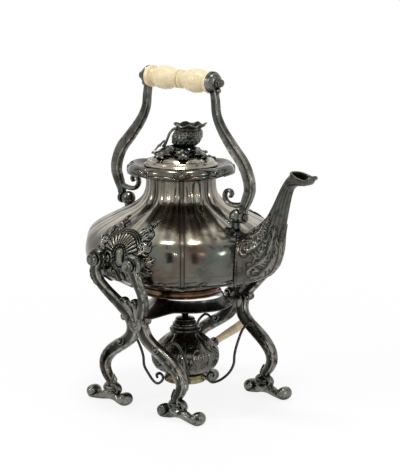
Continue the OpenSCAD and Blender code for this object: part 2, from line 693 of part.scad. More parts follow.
// Wire that arches off a leg, drops and rolls up under the burner
module bracket(sx, sy) {
    x = stand_x + sx * bracket_dx;
    reach = [x - burner_x, sy * bracket_y];
    far_off = norm(reach);
    dir = reach / far_off;
    hug = burner_foot_r + wire / 2 + 0.3;
    drop = [[frame_y(70) - 1, 72], [67, 79.5], [60, 81], [51, 75.5], [43, 62], [38.5, 50]];
    hook = [[far_off, 18], [far_off - 5, 8], [mix(hug, far_off, 0.52), 0], [hug + 6, -3.4],
        [hug + 1.2, -0.6], [hug, 4], [hug + 3.2, 8.2], [hug + 7, 7], [hug + 6.6, 3.8]];
    rows = concat([for (p = drop) [x, sy * p[0], p[1], wire, wire]],
        [for (i = [0:len(hook) - 1]) [burner_x + dir[0] * hook[i][0], dir[1] * hook[i][0],
            burner_foot_z + hook[i][1], wire, i < 5 ? wire : wire + (i - 4) * 0.7]]);
    color(dark_silver)
    bar(smooth(rows, 2), side = [-dir[1] * sx * sy, dir[0] * sx * sy, 0], sides = 6);
}

module near_front_bracket() bracket(1, -1);
module near_rear_bracket() bracket(-1, -1);
module far_front_bracket() bracket(1, 1);
module far_rear_bracket() bracket(-1, 1);

// BURNER

// Rows of [share of radius, share of height, share of seam depth] below and above its widest ring
burner_low = [[0.56, 0, 0.3], [0.78, 0.18, 0.8], [0.94, 0.52, 1]];
burner_high = [[0.95, 0.27, 1], [0.74, 0.58, 1], [0.52, 0.84, 0.6], [0.41, 1, 0]];
burner_base = burner_foot_z + 10.2;
lamp_outer = smooth(concat(
    [for (r = burner_low) [r[0], mix(burner_base, burner_z, r[1]), r[2]]], [[1, burner_z, 1]],
    [for (r = burner_high) [r[0], mix(burner_z, burner_top, r[1]), r[2]]]), 2);

module lamp_body() {
    depth = 2;
    wall = 1.2;
    color(silver)
    translate([burner_x, 0, 0]) difference() {
        skin(concat(
            [for (r = lamp_outer) lobed(r[0] * burner_r, r[1], r[2] * depth, 0, 8, 4)],
            [for (i = [len(lamp_outer) - 1:-2:0]) let (r = lamp_outer[i])
                lobed(r[0] * burner_r - wall - 0.4, max(r[1], burner_base + wall), r[2] * depth, 0, 8, 4)]));
        side_place() translate([0, 0, -3]) cylinder(r = 2.2, h = 12, $fn = 24);
    }
}

side_tilt = 15;
side_z = burner_z + 2.5;

// Carries the side handle's pieces out along its own axis, from the burner's wall
module side_place() {
    translate([0, burner_r * 0.93, side_z]) rotate([side_tilt - 90, 0, 0]) children();
}

module lamp_foot() {
    color("#b29a63")
    translate([burner_x, 0, burner_foot_z]) rotate_extrude($fn = 72)
        polygon([[burner_foot_r - 3, 0], [burner_foot_r - 0.6, 0], [burner_foot_r, 1],
            [burner_foot_r, 4.5], [burner_foot_r - 1, 6], [burner_foot_r - 1.2, 8],
            [burner_foot_r * 0.86, 10.2], [burner_foot_r * 0.5, 10.2],
            [burner_foot_r * 0.5, 9], [burner_foot_r - 4, 8.4]]);
}

collar_h = 4.5;
neck_bore = burner_r * 0.41 - 1.6;

module lamp_collar() {
    color(dark_silver)
    translate([burner_x, 0, burner_top]) rotate_extrude($fn = 72)
        polygon([[neck_bore, 0], [collar_r - 2, 0], [collar_r, 1], [collar_r, collar_h - 1.6],
            [collar_r - 1.4, collar_h], [neck_bore, collar_h]]);
}

tube_r = wick_r + 1.3;
plug_z = burner_top + collar_h;
wick_z = burner_foot_z + 17;

// Plug that hangs in the neck and holds the wick
module wick_holder() {
    color(silver)
    translate([burner_x, 0, plug_z]) rotate_extrude($fn = 48)
        polygon([[wick_r + run, -22], [tube_r, -22], [tube_r, -collar_h - 3],
            [neck_bore - run, -collar_h - 3], [neck_bore - run, 0], [neck_bore, 0],
            [neck_bore, 2], [tube_r, 2], [tube_r, 7], [wick_r + run, 7]]);
}

module wick() {
    color("#d8cfb8")
    translate([burner_x, 0, wick_z]) cylinder(r = wick_r, h = plug_z + 8.5 - wick_z, $fn = 32);
}

// Stepped cap that drops over the wick
module snuffer_cap() {
    low = plug_z + 2.3;
    room = tube_r + 1;
    color(dark_silver)
    translate([burner_x, 0, low]) rotate_extrude($fn = 64)
        polygon([[room, 0], [neck_bore - 1, 0], [neck_bore, 1], [neck_bore - 0.5, 2.4],
            [neck_bore - 2.4, 3], [neck_bore - 2, 4.4], [neck_bore - 3.4, 5.6],
            [neck_bore - 3, 7], [neck_bore - 4.4, 8.4], [4.2, 9.4], [3.4, 11], [4.6, 12.4],
            [3.6, 14], [0, 14.4], [0, 8], [room, 8]]);
}

module lamp_socket() {
    color(dark_silver)
    translate([burner_x, 0, 0]) side_place() difference() {
        union() {
            cylinder(r = 2.1, h = 8, $fn = 24);
            translate([0, 0, 0.6]) rotate_extrude($fn = 40)
                polygon([[0, 0], [5.6, 0], [5, 2], [4, 5], [4.2, 9], [5.6, 10.5], [5.6, 13],
                    [0, 13]]);
        }
        translate([0, 0, 7]) cylinder(r = 2.6 + run, h = 8, $fn = 32);
    }
}

// Tapered side handle, whose tenon is held in the socket
module lamp_handle() {
    color(ivory)
    translate([burner_x, 0, 0]) side_place() translate([0, 0, 13.7]) rotate_extrude($fn = 40)
        polygon([[0, -6], [2.6, -6], [2.6, 0], [3.8, 0], [4.2, side_handle * 0.2],
            [5, side_handle * 0.5], [5.7, side_handle * 0.8], [5.5, side_handle * 0.92],
            [4.2, side_handle * 0.98], [0, side_handle]]);
}

near_frame();
far_frame();
near_front_foot();
near_rear_foot();
far_front_foot();
far_rear_foot();
apron_ring();
apron_screws();
near_front_bracket();
near_rear_bracket();
far_front_bracket();
far_rear_bracket();
near_pivot_pin();
far_pivot_pin();
lamp_body();
lamp_foot();
lamp_collar();
wick_holder();
wick();
snuffer_cap();
lamp_socket();
lamp_handle();
kettle_body();
kettle_foot();
mouth_rim();
strainer();
spout();
trunnions();
rest_studs();
handle_lugs();
lug_pins();
lid();
lid_hinge_pin();
finial_leaves();
finial_bud();
finial_nut();
front_arm();
rear_arm();
grip();
tie_rod();
end_nuts();
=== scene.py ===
# Spirit kettle on a stand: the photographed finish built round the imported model
import math
import bpy
import numpy as np
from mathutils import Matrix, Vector


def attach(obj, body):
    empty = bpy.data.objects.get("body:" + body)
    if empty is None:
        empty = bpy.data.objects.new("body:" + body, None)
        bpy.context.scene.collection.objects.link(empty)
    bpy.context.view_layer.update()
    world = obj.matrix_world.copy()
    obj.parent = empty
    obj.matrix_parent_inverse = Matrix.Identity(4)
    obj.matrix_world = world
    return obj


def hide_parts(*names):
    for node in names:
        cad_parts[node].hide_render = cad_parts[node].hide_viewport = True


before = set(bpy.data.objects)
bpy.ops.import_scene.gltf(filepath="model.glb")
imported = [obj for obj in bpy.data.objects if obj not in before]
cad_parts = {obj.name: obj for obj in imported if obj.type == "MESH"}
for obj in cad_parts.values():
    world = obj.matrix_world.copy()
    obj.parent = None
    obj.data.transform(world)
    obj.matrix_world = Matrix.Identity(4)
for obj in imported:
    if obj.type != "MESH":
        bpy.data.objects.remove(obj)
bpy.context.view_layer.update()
mm = 0.001
fullTurn = 2 * math.pi
upward = (0, 0, 1)
lobes = 8
kettleX, standX, burnerX = -42, -30, -36


# Small helpers

def linear(hexColor):
    channels = [int(hexColor[k:k + 2], 16) / 255 for k in (1, 3, 5)]
    return [c / 12.92 if c <= 0.04045 else ((c + 0.055) / 1.055) ** 2.4 for c in channels] + [1]


# Links another node's output to an input, or sets the input's own value
def feedNode(tree, node, values):
    for key, value in values.items():
        if isinstance(value, bpy.types.NodeSocket):
            tree.links.new(value, node.inputs[key])
        else:
            node.inputs[key].default_value = value


def addNode(tree, kind, values=None):
    made = tree.nodes.new("ShaderNode" + kind)
    values = dict(values or {})
    for key in [k for k in values if isinstance(k, str) and k not in made.inputs]:
        setattr(made, key, values.pop(key))
    feedNode(tree, made, values)
    return made


def mix(a, b, t):
    return a + (b - a) * t


def polar(radius, degrees):
    return radius * math.cos(math.radians(degrees)), radius * math.sin(math.radians(degrees))


def anglesOf(count):
    return np.arange(count) * fullTurn / count


def ringPoints(x, y, radius, angles, z):
    return np.stack([x + radius * np.cos(angles), y + radius * np.sin(angles), z + 0 * angles], axis=1)


# A smooth curve through rows of numbers
def smoothRows(rows, steps):
    points = np.array(rows, float)
    padded = np.vstack([points[:1], points, points[-1:]])
    out = []
    for i in range(len(points) - 1):
        a, b, c, d = padded[i:i + 4]
        for t in np.arange(steps) / steps:
            out.append((2 * b + (c - a) * t + (2 * a - 5 * b + 4 * c - d) * t ** 2
                        + (3 * b - a - 3 * c + d) * t ** 3) / 2)
    out.append(points[-1])
    return np.array(out)


def tangentsOf(points):
    padded = np.vstack([points[:1], points, points[-1:]])
    tangents = padded[2:] - padded[:-2]
    return tangents / np.linalg.norm(tangents, axis=1, keepdims=True)


def namedPiece(name):
    bpy.context.object.name = name
    return bpy.context.object


def pickOnly(pieces):
    bpy.ops.object.select_all(action="DESELECT")
    for piece in pieces:
        piece.select_set(True)
    bpy.context.view_layer.objects.active = pieces[0]


# Merges doubles, turns faces outwards and smooths below an angle
def tidyMesh(piece, angle=40, outward=True):
    pickOnly([piece])
    bpy.ops.object.mode_set(mode="EDIT")
    bpy.ops.mesh.select_all(action="SELECT")
    bpy.ops.mesh.remove_doubles(threshold=0.000005)
    if outward:
        bpy.ops.mesh.normals_make_consistent(inside=False)
    bpy.ops.object.mode_set(mode="OBJECT")
    bpy.ops.object.shade_smooth_by_angle(angle=math.radians(angle))


# A grid primitive laid over rows of rings, with its ends closed where asked.
# dark says how black the tarnish is at each point, or below nought how much lighter it is painted: rubbed
# wear on high points, and painted highlights and reflections
def skinPiece(name, rings, capped=True, ringClosed=True, angle=40, dark=None, outward=True):
    rings = np.array(rings, float)
    dark = np.zeros(rings.shape[:2]) if dark is None else np.array(dark, float)
    if ringClosed:
        rings = np.concatenate([rings, rings[:, :1]], axis=1)
        dark = np.concatenate([dark, dark[:, :1]], axis=1)
    if capped:
        first, last = [np.repeat(rings[[k], :-1].mean(axis=1, keepdims=True), rings.shape[1], axis=1)
                       for k in (0, -1)]
        rings = np.concatenate([first, rings, last])
        dark = np.concatenate([dark[:1], dark, dark[-1:]])
    rows, columns = rings.shape[:2]
    bpy.ops.mesh.primitive_grid_add(x_subdivisions=columns - 1, y_subdivisions=rows - 1, size=2)
    piece = namedPiece(name)
    flat = np.empty(len(piece.data.vertices) * 3)
    piece.data.vertices.foreach_get("co", flat)
    flat = (flat.reshape(-1, 3) + 1) / 2
    column = np.rint(flat[:, 0] * (columns - 1)).astype(int)
    row = np.rint(flat[:, 1] * (rows - 1)).astype(int)
    piece.data.vertices.foreach_set("co", (rings[row, column] * mm).ravel())
    hollow = piece.data.attributes.new("hollow", "FLOAT", "POINT")
    hollow.data.foreach_set("value", dark[row, column])
    tidyMesh(piece, angle, outward)
    return piece


def roundSection(around):
    return np.stack([np.cos(around), np.sin(around)], axis=1)


# Cast channel: two rounded rims with a sunk panel between them on each face
def channelSection(around):
    x, y = np.cos(around), np.sin(around)
    squared = (np.abs(x) ** 3.4 + np.abs(y) ** 3.4) ** (-1 / 3.4)
    x, y = x * squared, y * squared
    return np.stack([x * 1.1, y * (1.12 - 0.5 * np.exp(-(x / 0.52) ** 4))], axis=1)


# Rings along rows of [x, y, z, width, thickness], whose thickness lies along side
def barRings(rows, side=(0, 1, 0), sides=20, section=roundSection):
    rows = np.array(rows, float)
    points = rows[:, :3]
    tangents = tangentsOf(points)
    across = np.cross(np.array(side, float), tangents)
    across /= np.linalg.norm(across, axis=1, keepdims=True)
    thick = np.cross(tangents, across)
    shape = section(anglesOf(sides))
    return (points[:, None] + across[:, None] * (rows[:, 3, None] / 2 * shape[:, 0])[..., None]
            + thick[:, None] * (rows[:, 4, None] / 2 * shape[:, 1])[..., None])


# A bar with rounded ends. sunk is how black the tarnish lies in its panels; half as much is painted
# lighter along the rims beside them, as a painted highlight
def barPiece(name, rows, side=(0, 1, 0), sides=28, section=roundSection, steps=6, sunk=0.0):
    rows = smoothRows(rows, steps)
    ends = []
    for end, nextTo in ((rows[0], rows[1]), (rows[-1], rows[-2])):
        out = end[:3] - nextTo[:3]
        out = out / np.linalg.norm(out)
        ends.append([np.append(end[:3] + out * end[3] * 0.22 * share,
                               end[3:5] * math.sqrt(1 - share ** 2)) for share in (0.35, 0.7, 0.92)])
    rows = np.vstack([ends[0][::-1], rows, ends[1]])
    across = np.abs(section(anglesOf(sides))[:, 0])
    # Tarnish in the sunk panel, and a painted highlight along each rim
    panel = sunk * np.exp(-(across / 0.6) ** 6) - 0.5 * sunk * np.exp(-((across - 0.85) / 0.14) ** 2)
    return skinPiece(name, barRings(rows, side, sides, section), dark=np.tile(panel, (len(rows), 1)))


# A round wire through points, of one width or of a width at each
def beadPiece(name, points, widths, side=upward):
    widths = np.broadcast_to(widths, len(points))
    return skinPiece(name, barRings(np.column_stack([points, widths, widths]), side, 10))


# A turned piece: a circle drawn out and scaled ring by ring, as on a lathe
def turnedPiece(name, profile, centre, direction, sides=48):
    radius = [max(p[0], 0.02) for p in profile]
    bpy.ops.mesh.primitive_circle_add(vertices=sides, radius=radius[0] * mm, fill_type="NGON",
                                      location=(0, 0, profile[0][1] * mm))
    piece = namedPiece(name)
    bpy.ops.object.mode_set(mode="EDIT")
    bpy.ops.mesh.select_all(action="SELECT")
    for k in range(1, len(profile)):
        rise = (profile[k][1] - profile[k - 1][1]) * mm
        bpy.ops.mesh.extrude_region_move(TRANSFORM_OT_translate={"value": (0, 0, rise)})
        grow = radius[k] / radius[k - 1]
        bpy.ops.transform.resize(value=(grow, grow, 1))
    bpy.ops.object.mode_set(mode="OBJECT")
    turn = Vector(upward).rotation_difference(Vector(direction)).to_matrix().to_4x4()
    turn.translation = Vector(centre) * mm
    bpy.ops.object.transform_apply(location=True, rotation=True, scale=True)
    piece.data.transform(turn)
    tidyMesh(piece, 35)
    return piece


def blockPiece(name, centre, size, edge=0.4):
    bpy.ops.mesh.primitive_cube_add(size=1, location=Vector(centre) * mm, scale=Vector(size) * mm)
    piece = namedPiece(name)
    bpy.ops.object.transform_apply(location=True, rotation=True, scale=True)
    rounding = piece.modifiers.new("rounding", "BEVEL")
    rounding.width = edge * mm
    rounding.segments = 3
    bpy.ops.object.modifier_apply(modifier="rounding")
    tidyMesh(piece)
    return piece


# A leaf along rows of [x, y, z, half width]: toothed edges, raised veins and a hollow back
def leafPiece(name, rows, side, teeth=5, bite=0.3, arch=0.3, thick=1.1, ripple=0.5, across=21):
    rows = smoothRows(rows, 10)
    points = rows[:, :3]
    side = np.array(side, float) / np.linalg.norm(side)
    up = np.cross(tangentsOf(points), side)
    up /= np.linalg.norm(up, axis=1, keepdims=True)
    k = np.linspace(0, 1, len(rows))[:, None]
    v = np.linspace(-1, 1, across)[None]
    tooth = (teeth * k + 0.35 * np.abs(v)) % 1
    half = rows[:, 3:4] * (1 - bite * tooth ** 1.4 * np.abs(v))
    vein = 0.5 * np.exp(-(v / 0.13) ** 2) + 0.25 * np.cos(fullTurn * (teeth * k - 0.9 * np.abs(v)))
    lift = -arch * half * v ** 2 + vein + ripple * np.abs(v) ** 3 * np.sin(fullTurn * teeth * k)
    grid = points[:, None] + side * (half * v)[..., None] + up[:, None] * lift[..., None]
    # Tarnish over the leaf, and painted highlights along the raised veins and across the teeth where the
    # value falls below nought
    dark = np.clip(0.35 - vein * 1.5, -0.5, 0.7) * np.ones_like(lift)
    piece = skinPiece(name, grid, False, False, 50, dark)
    wall = piece.modifiers.new("wall", "SOLIDIFY")
    wall.thickness = thick * mm
    wall.offset = 0
    bpy.ops.object.modifier_apply(modifier="wall")
    return piece


def joinPieces(name, parts):
    pickOnly(parts)
    bpy.ops.object.join()
    parts[0].name = name
    return parts[0]


def copyPiece(piece, name, scale, shift=(0, 0, 0)):
    made = piece.copy()
    made.data = piece.data.copy()
    made.name = name
    bpy.context.scene.collection.objects.link(made)
    flat = np.empty(len(made.data.vertices) * 3)
    made.data.vertices.foreach_get("co", flat)
    flat = (flat.reshape(-1, 3) / mm * scale + shift) * mm
    made.data.vertices.foreach_set("co", flat.ravel())
    tidyMesh(made)
    return made


def finishPiece(piece, body, slot, finish, *nodes):
    piece.data.materials.clear()
    piece.data.materials.append(finishes[finish])
    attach(piece, body)
    if nodes:
        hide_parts(*nodes)


# Chased relief: each stroke is a path with a half width at each end and a height.
# Returns the height and the gap to the nearest stroke at each point (u, v)
def chased(u, v, strokes):
    height = np.zeros(u.shape)
    gap = np.full(u.shape, 99.0)
    for path, wide, tall in strokes:
        path = np.array(path, float)
        reach = max(wide) + 3
        near = ((u > path[:, 0].min() - reach) & (u < path[:, 0].max() + reach)
                & (v > path[:, 1].min() - reach) & (v < path[:, 1].max() + reach))
        if not near.any():
            continue
        pu, pv = u[near], v[near]
        high, far = height[near], gap[near]
        for i in range(len(path) - 1):
            step = path[i + 1] - path[i]
            t = ((pu - path[i, 0]) * step[0] + (pv - path[i, 1]) * step[1]) / max(step @ step, 1e-9)
            t = np.clip(t, 0, 1)
            off = np.hypot(pu - path[i, 0] - t * step[0], pv - path[i, 1] - t * step[1])
            w = mix(wide[0], wide[1], (i + t) / (len(path) - 1))
            high = np.maximum(high, tall * np.sqrt(np.clip(1 - (off / w) ** 2, 0, 1)))
            far = np.minimum(far, off - w)
        height[near], gap[near] = high, far
    return height, gap


def dotStroke(x, y, radius, tall):
    return [([(x, y), (x + 0.01, y)], (radius, radius), tall)]


def scrollStroke(x, y, radius, start, turns, wide, tall):
    t = np.linspace(0, 1, 14)
    a = np.radians(start + 360 * turns * t)
    r = radius * (1 - 0.75 * t)
    path = np.stack([x + r * np.cos(a), y + r * np.sin(a)], axis=1)
    return [(path, (wide, wide * 0.6), tall)] + dotStroke(x, y, wide * 0.9, tall * 1.1)


def leafStroke(x, y, heading, length, bend, wide, tall, pairs=4):
    def onward(point, reach, a):
        return point[0] + reach * math.cos(a), point[1] + reach * math.sin(a)

    a = np.radians(heading + bend * np.linspace(0, 1, 9))
    path = [(x, y)]
    for k in range(8):
        path.append(onward(path[-1], length / 8, a[k]))
    strokes = [(path, (wide * 0.55, wide * 0.25), tall)]
    for i in range(pairs):
        k = 1 + round(i * 6 / pairs)
        grow = length * 0.34 * (1 - 0.5 * i / pairs)
        for s in (-1, 1):
            tip = onward(path[k], grow, a[k] + s * 0.95)
            end = onward(tip, grow * 0.45, a[k] + s * 0.15)
            strokes.append(([path[k], tip, end], (wide * 0.42, wide * 0.16), tall * 0.8))
    return strokes


def blossomStroke(x, y, radius, petals, tall):
    strokes = dotStroke(x, y, radius * 0.26, tall * 1.3)
    for k in range(petals):
        c, s = polar(radius, 360 * k / petals)
        strokes.append(([(x + 0.45 * c, y + 0.45 * s), (x + 0.7 * c, y + 0.7 * s)],
                        (radius * 0.2, radius * 0.33), tall))
    return strokes


def strokesOf(scrolls, leaves, blossoms):
    made = []
    for draw, rows in ((scrollStroke, scrolls), (leafStroke, leaves), (blossomStroke, blossoms)):
        for row in rows:
            made += draw(*row)
    return made


# Finishes

def newMaterial(name):
    made = bpy.data.materials.new(name)
    made.use_nodes = True
    return made, made.node_tree


def placeOf(tree):
    return addNode(tree, "TexCoord").outputs["Object"]


def noise(tree, place, scale, detail, roughness=0.5):
    return addNode(tree, "TexNoise", {"Scale": scale, "Detail": detail, "Roughness": roughness,
                                      "Vector": place}).outputs["Fac"]


def ranged(tree, source, low, high, toLow=0.0, toHigh=1.0):
    return addNode(tree, "MapRange", {"From Min": low, "From Max": high, "To Min": toLow,
                                      "To Max": toHigh, "Value": source}).outputs[0]


def blended(tree, share, first, second):
    return addNode(tree, "MixRGB", {"Fac": share, "Color1": first, "Color2": second}).outputs[0]


def maths(tree, operation, *values):
    return addNode(tree, "Math", {"operation": operation, **dict(enumerate(values))}).outputs[0]


def bumped(tree, height, strength, distance, more=None):
    return addNode(tree, "Bump", {"Strength": strength, "Distance": distance, "Height": height,
                                  **(more or {})}).outputs[0]


# How much grime or wear a crevice holds, from how far it is shut in
def creviceMask(tree, distance, most):
    shut = addNode(tree, "AmbientOcclusion", {"Distance": distance, "samples": 6})
    return ranged(tree, shut.outputs["AO"], 0.85, 0.4, 0.0, most)


# Silver plate on nickel alloy, gone brown and blue-grey where hands and air reach it, with black
# left in the hollows. The cast looks are rougher from the mould
silverKeys = ("clean", "brown", "blue", "dark", "rough", "spread", "brownShare", "patch", "dent",
              "wave", "grime", "grain")
silverLooks = {
    "polishedSilverPlate": ("#68665d", "#554438", "#56605e", "#1a1815", 0.13, 0.12, 0.5, 26, 0.05,
                            0.0012, 0.35, 60),
    "castSilverPlate": ("#83827a", "#4b4339", "#5d6461", "#0e0d0c", 0.2, 0.16, 0.45, 60, 0.9,
                        0.0005, 0.95, 130),
    "chasedSilverPlate": ("#5d5b54", "#473f36", "#535a57", "#100f0d", 0.2, 0.14, 0.45, 48, 0.6,
                          0.0004, 0.75, 110),
    "wornSilverPlate": ("#80614a", "#49342a", "#6a5f50", "#17110c", 0.16, 0.12, 0.6, 30, 0.1,
                        0.0008, 0.5, 70),
    "giltPlate": ("#a19775", "#6f6147", "#87836f", "#1d1910", 0.18, 0.12, 0.5, 50, 0.1, 0.0004,
                  0.6, 90),
    "blackenedSilverPlate": ("#4a4844", "#332d27", "#3d4246", "#100f0d", 0.2, 0.12, 0.5, 60, 0.3,
                             0.0006, 0.6, 80),
}


def silverFinish(name, look):
    made, tree = newMaterial(name)
    place = placeOf(tree)
    blotch = noise(tree, place, look["patch"], 5, 0.6)
    cloud = noise(tree, place, look["patch"] * 0.45, 3)
    brownMask = ranged(tree, blotch, 0.62 - look["brownShare"] * 0.35, 0.78 - look["brownShare"] * 0.2)
    clean = blended(tree, ranged(tree, cloud, 0.45, 0.62), linear(look["clean"]), linear(look["blue"]))
    tarnished = blended(tree, brownMask, clean, linear(look["brown"]))
    hollow = addNode(tree, "Attribute", {"attribute_name": "hollow"}).outputs["Fac"]
    # Painted lighter where the attribute is below nought: rubbed wear where hands and cloths reach most,
    # and painted highlights and reflections on the shoulder, the lid and the leaf veins
    wearAndHighlight = blended(tree, ranged(tree, hollow, 0.0, -1.0), tarnished, linear("#c3bba8"))
    # Black left in hollows, and in specks and runs where the polishing cloth misses
    grime = ranged(tree, noise(tree, place, look["grain"], 6, 0.7), 0.5, 0.66, 0.0, look["grime"])
    closed = maths(tree, "MAXIMUM", hollow, creviceMask(tree, 0.006, 0.9))
    darkMask = maths(tree, "MAXIMUM", closed, grime)
    rough = ranged(tree, blotch, 0.0, 1.0, look["rough"] - look["spread"] / 2,
                   look["rough"] + look["spread"])
    # Fine scratches from polishing, about half a millimetre apart, and slow waves of hand work
    scratched = maths(tree, "MULTIPLY_ADD", noise(tree, place, 900, 2), 0.15, noise(tree, place, 90, 2))
    beaten = bumped(tree, noise(tree, place, 30, 1), 1.0, look["wave"])
    feedNode(tree, tree.nodes["Principled BSDF"], {
        "Base Color": blended(tree, darkMask, wearAndHighlight, linear(look["dark"])), "Metallic": 1.0,
        "Roughness": maths(tree, "MULTIPLY_ADD", darkMask, 0.25, rough),
        "Normal": bumped(tree, scratched, look["dent"], 0.0006, {"Normal": beaten})})
    return made


# Cast resin the colour of ivory: turned and waxed, with a faint cream grain along the piece
def turnedResin(name):
    made, tree = newMaterial(name)
    stretch = addNode(tree, "Mapping", {"Scale": (12, 90, 90), "Vector": placeOf(tree)}).outputs[0]
    grain = noise(tree, stretch, 4, 4, 0.55)
    cream = blended(tree, grain, linear("#ebdfbf"), linear("#d6bd8e"))
    feedNode(tree, tree.nodes["Principled BSDF"], {
        "Base Color": blended(tree, creviceMask(tree, 0.004, 0.75), cream, linear("#a5803f")),
        "Roughness": 0.32, "IOR": 1.54, "Subsurface Weight": 0.12,
        "Subsurface Radius": (0.004, 0.003, 0.002), "Normal": bumped(tree, grain, 0.08, 0.0004)})
    return made


# Plaited cotton: matt, off-white, with crossing strands a millimetre wide
def plaitedCotton(name):
    made, tree = newMaterial(name)
    weave = addNode(tree, "TexWave", {"Scale": 160, "Distortion": 2, "bands_direction": "DIAGONAL",
                                      "Vector": placeOf(tree)}).outputs["Fac"]
    feedNode(tree, tree.nodes["Principled BSDF"], {
        "Base Color": blended(tree, weave, linear("#cdc3a6"), linear("#8d8468")),
        "Roughness": 0.9, "Normal": bumped(tree, weave, 0.6, 0.0004)})
    return made


finishes = {name: silverFinish(name, dict(zip(silverKeys, row))) for name, row in silverLooks.items()}
finishes["turnedCreamResin"] = turnedResin("turnedCreamResin")
finishes["plaitedCotton"] = plaitedCotton("plaitedCotton")
print("finishes made")


# Camera, lights and stage

studio = {
    "azimuth": 43.77, "reach": 2081.76, "height": 593.16, "pitch": 11.1, "sideStep": 21.0,
    "lens": 145.4}
azimuth = math.radians(studio["azimuth"])
pitch = math.radians(studio["pitch"])
forward = Vector((-math.sin(azimuth), math.cos(azimuth), 0))
right = Vector((math.cos(azimuth), math.sin(azimuth), 0))
eye = (Vector((kettleX, 0, studio["height"])) - forward * studio["reach"]
       + right * studio["sideStep"]) * mm


def facing(direction):
    return direction.to_track_quat("-Z", "Y").to_euler()


look = forward * math.cos(pitch) - Vector((0, 0, math.sin(pitch)))
bpy.ops.object.camera_add(location=eye, rotation=facing(look))
camera = namedPiece("studio_camera")
camera.data.lens = studio["lens"]
camera.data.sensor_width = 36
camera.data.clip_end = 50
bpy.context.scene.camera = camera

fillPlace = eye + right * 0.5 + right.cross(forward) * 0.4
for name, place, aimZ, size, power in (
        ("key_softbox", Vector((-0.9, -2.1, 1.5)), 0.15, (0.35, 0.5), 15),
        ("fill_softbox", fillPlace, 0.15, (0.07, 0.07), 3),
        ("side_softbox", Vector((2.2, 0.2, 0.9)), 0.15, (0.3, 0.5), 7),
        ("top_softbox", Vector((0.15, -0.25, 2.2)), 0.1, (0.5, 0.4), 22)):
    bpy.ops.object.light_add(type="AREA", location=place, rotation=facing(Vector((0, 0, aimZ)) - place))
    softbox = namedPiece(name)
    softbox.data.shape = "RECTANGLE"
    softbox.data.size, softbox.data.size_y = size
    softbox.data.energy = power
    softbox.data.color = (1, 1, 1)


def seenRay(tree, *kinds):
    rays = addNode(tree, "LightPath").outputs
    seen = rays[kinds[0]]
    for kind in kinds[1:]:
        seen = maths(tree, "MAXIMUM", seen, rays[kind])
    return seen


# A floor that glows white to the camera and in reflections, less near the kettle, and takes shadows
def floorMaterial(name, color, glow):
    made, tree = newMaterial(name)
    shader = tree.nodes["Principled BSDF"]
    feedNode(tree, shader, {"Base Color": linear(color), "Roughness": 0.55})
    away = addNode(tree, "VectorMath", {"operation": "LENGTH", 0: placeOf(tree)}).outputs["Value"]
    level = maths(tree, "MULTIPLY", seenRay(tree, "Is Camera Ray", "Is Glossy Ray"),
                  ranged(tree, away, 0.25, 0.8, glow, 1.0))
    white = addNode(tree, "Emission", {"Color": (1, 1, 1, 1), "Strength": 1.0}).outputs[0]
    both = addNode(tree, "MixShader", {0: level, 1: shader.outputs[0], 2: white}).outputs[0]
    feedNode(tree, tree.nodes["Material Output"], {"Surface": both})
    return made


bpy.ops.mesh.primitive_circle_add(vertices=96, radius=6, fill_type="NGON", location=(0, 0, 0))
floor = namedPiece("pale_floor")
floor.data.materials.append(floorMaterial("paleFloor", "#f4f4f4", 0.86))


# Dark cards that only show in the silver, as the dark room round the camera does.
# Each fades to white over the outer share of its width, so that its reflection has no hard edge
def darkCard(name, place, size, edge=0.9):
    bpy.ops.mesh.primitive_plane_add(size=2, location=place, rotation=facing(Vector((0, 0, 0.2)) - place))
    card = namedPiece(name)
    card.scale = (size[0] / 2, size[1] / 2, 1)
    made, tree = newMaterial(name)
    size = addNode(tree, "VectorMath", {"operation": "ABSOLUTE", 0: placeOf(tree)}).outputs[0]
    sides = addNode(tree, "SeparateXYZ", {0: size}).outputs
    glow = ranged(tree, maths(tree, "MAXIMUM", sides["X"], sides["Y"]), edge, 1.0, 0.02, 1.0)
    white = addNode(tree, "Emission", {"Color": (1, 1, 1, 1), "Strength": glow}).outputs[0]
    feedNode(tree, tree.nodes["Material Output"], {"Surface": white})
    card.data.materials.append(made)
    card.visible_camera = card.visible_diffuse = card.visible_shadow = False


darkCard("camera_card", eye - forward * 0.15, (0.5, 1.25))
# Turn from the camera, elevation and size of the strips that streak the shoulder
for turn, rise, wide, tall in ((-110, 40, 0.5, 1.4), (-48, 50, 0.16, 1.2), (-4, 52, 0.12, 1.1),
                               (44, 50, 0.16, 1.2), (100, 40, 0.6, 1.4)):
    a, e = azimuth - math.pi / 2 + math.radians(turn), math.radians(rise)
    away = Vector((math.cos(a) * math.cos(e), math.sin(a) * math.cos(e), math.sin(e)))
    darkCard("room_card", away * 2 + Vector((0, 0, 0.2)), (wide, tall), 0.5)

world = bpy.data.worlds.new("paleRoom")
bpy.context.scene.world = world
world.use_nodes = True
sky = world.node_tree
seen = seenRay(sky, "Is Camera Ray", "Is Glossy Ray", "Is Transmission Ray")
feedNode(sky, sky.nodes["Background"], {"Color": (1, 1, 1, 1),
                                        "Strength": ranged(sky, seen, 0.0, 1.0, 0.5, 1.0)})
bpy.context.scene.view_settings.view_transform = "Standard"
print("camera, lights and stage set")


# Kettle body

bodyShape = {
    "radius": 108.5, "bellyZ": 175, "hemRadius": 76, "hemZ": 138, "hemRise": 5, "neckRadius": 39,
    "neckZ": 252, "seam": 4.5, "sheet": 1.4, "reed": 1.3, "reedWidth": 1.1}
lowerShares = [(0, 0, 0.8), (0.26, 0.08, 0.9), (0.57, 0.22, 1), (0.79, 0.42, 1), (0.94, 0.68, 1)]
upperShares = [
    (0.95, 0.2, 1.1), (0.81, 0.33, 1.2), (0.53, 0.465, 1.3), (0.3, 0.565, 1.2), (0.12, 0.67, 1),
    (0.03, 0.8, 0.6)]
hemRise = bodyShape["hemRise"]
floorZ = bodyShape["hemZ"] + hemRise


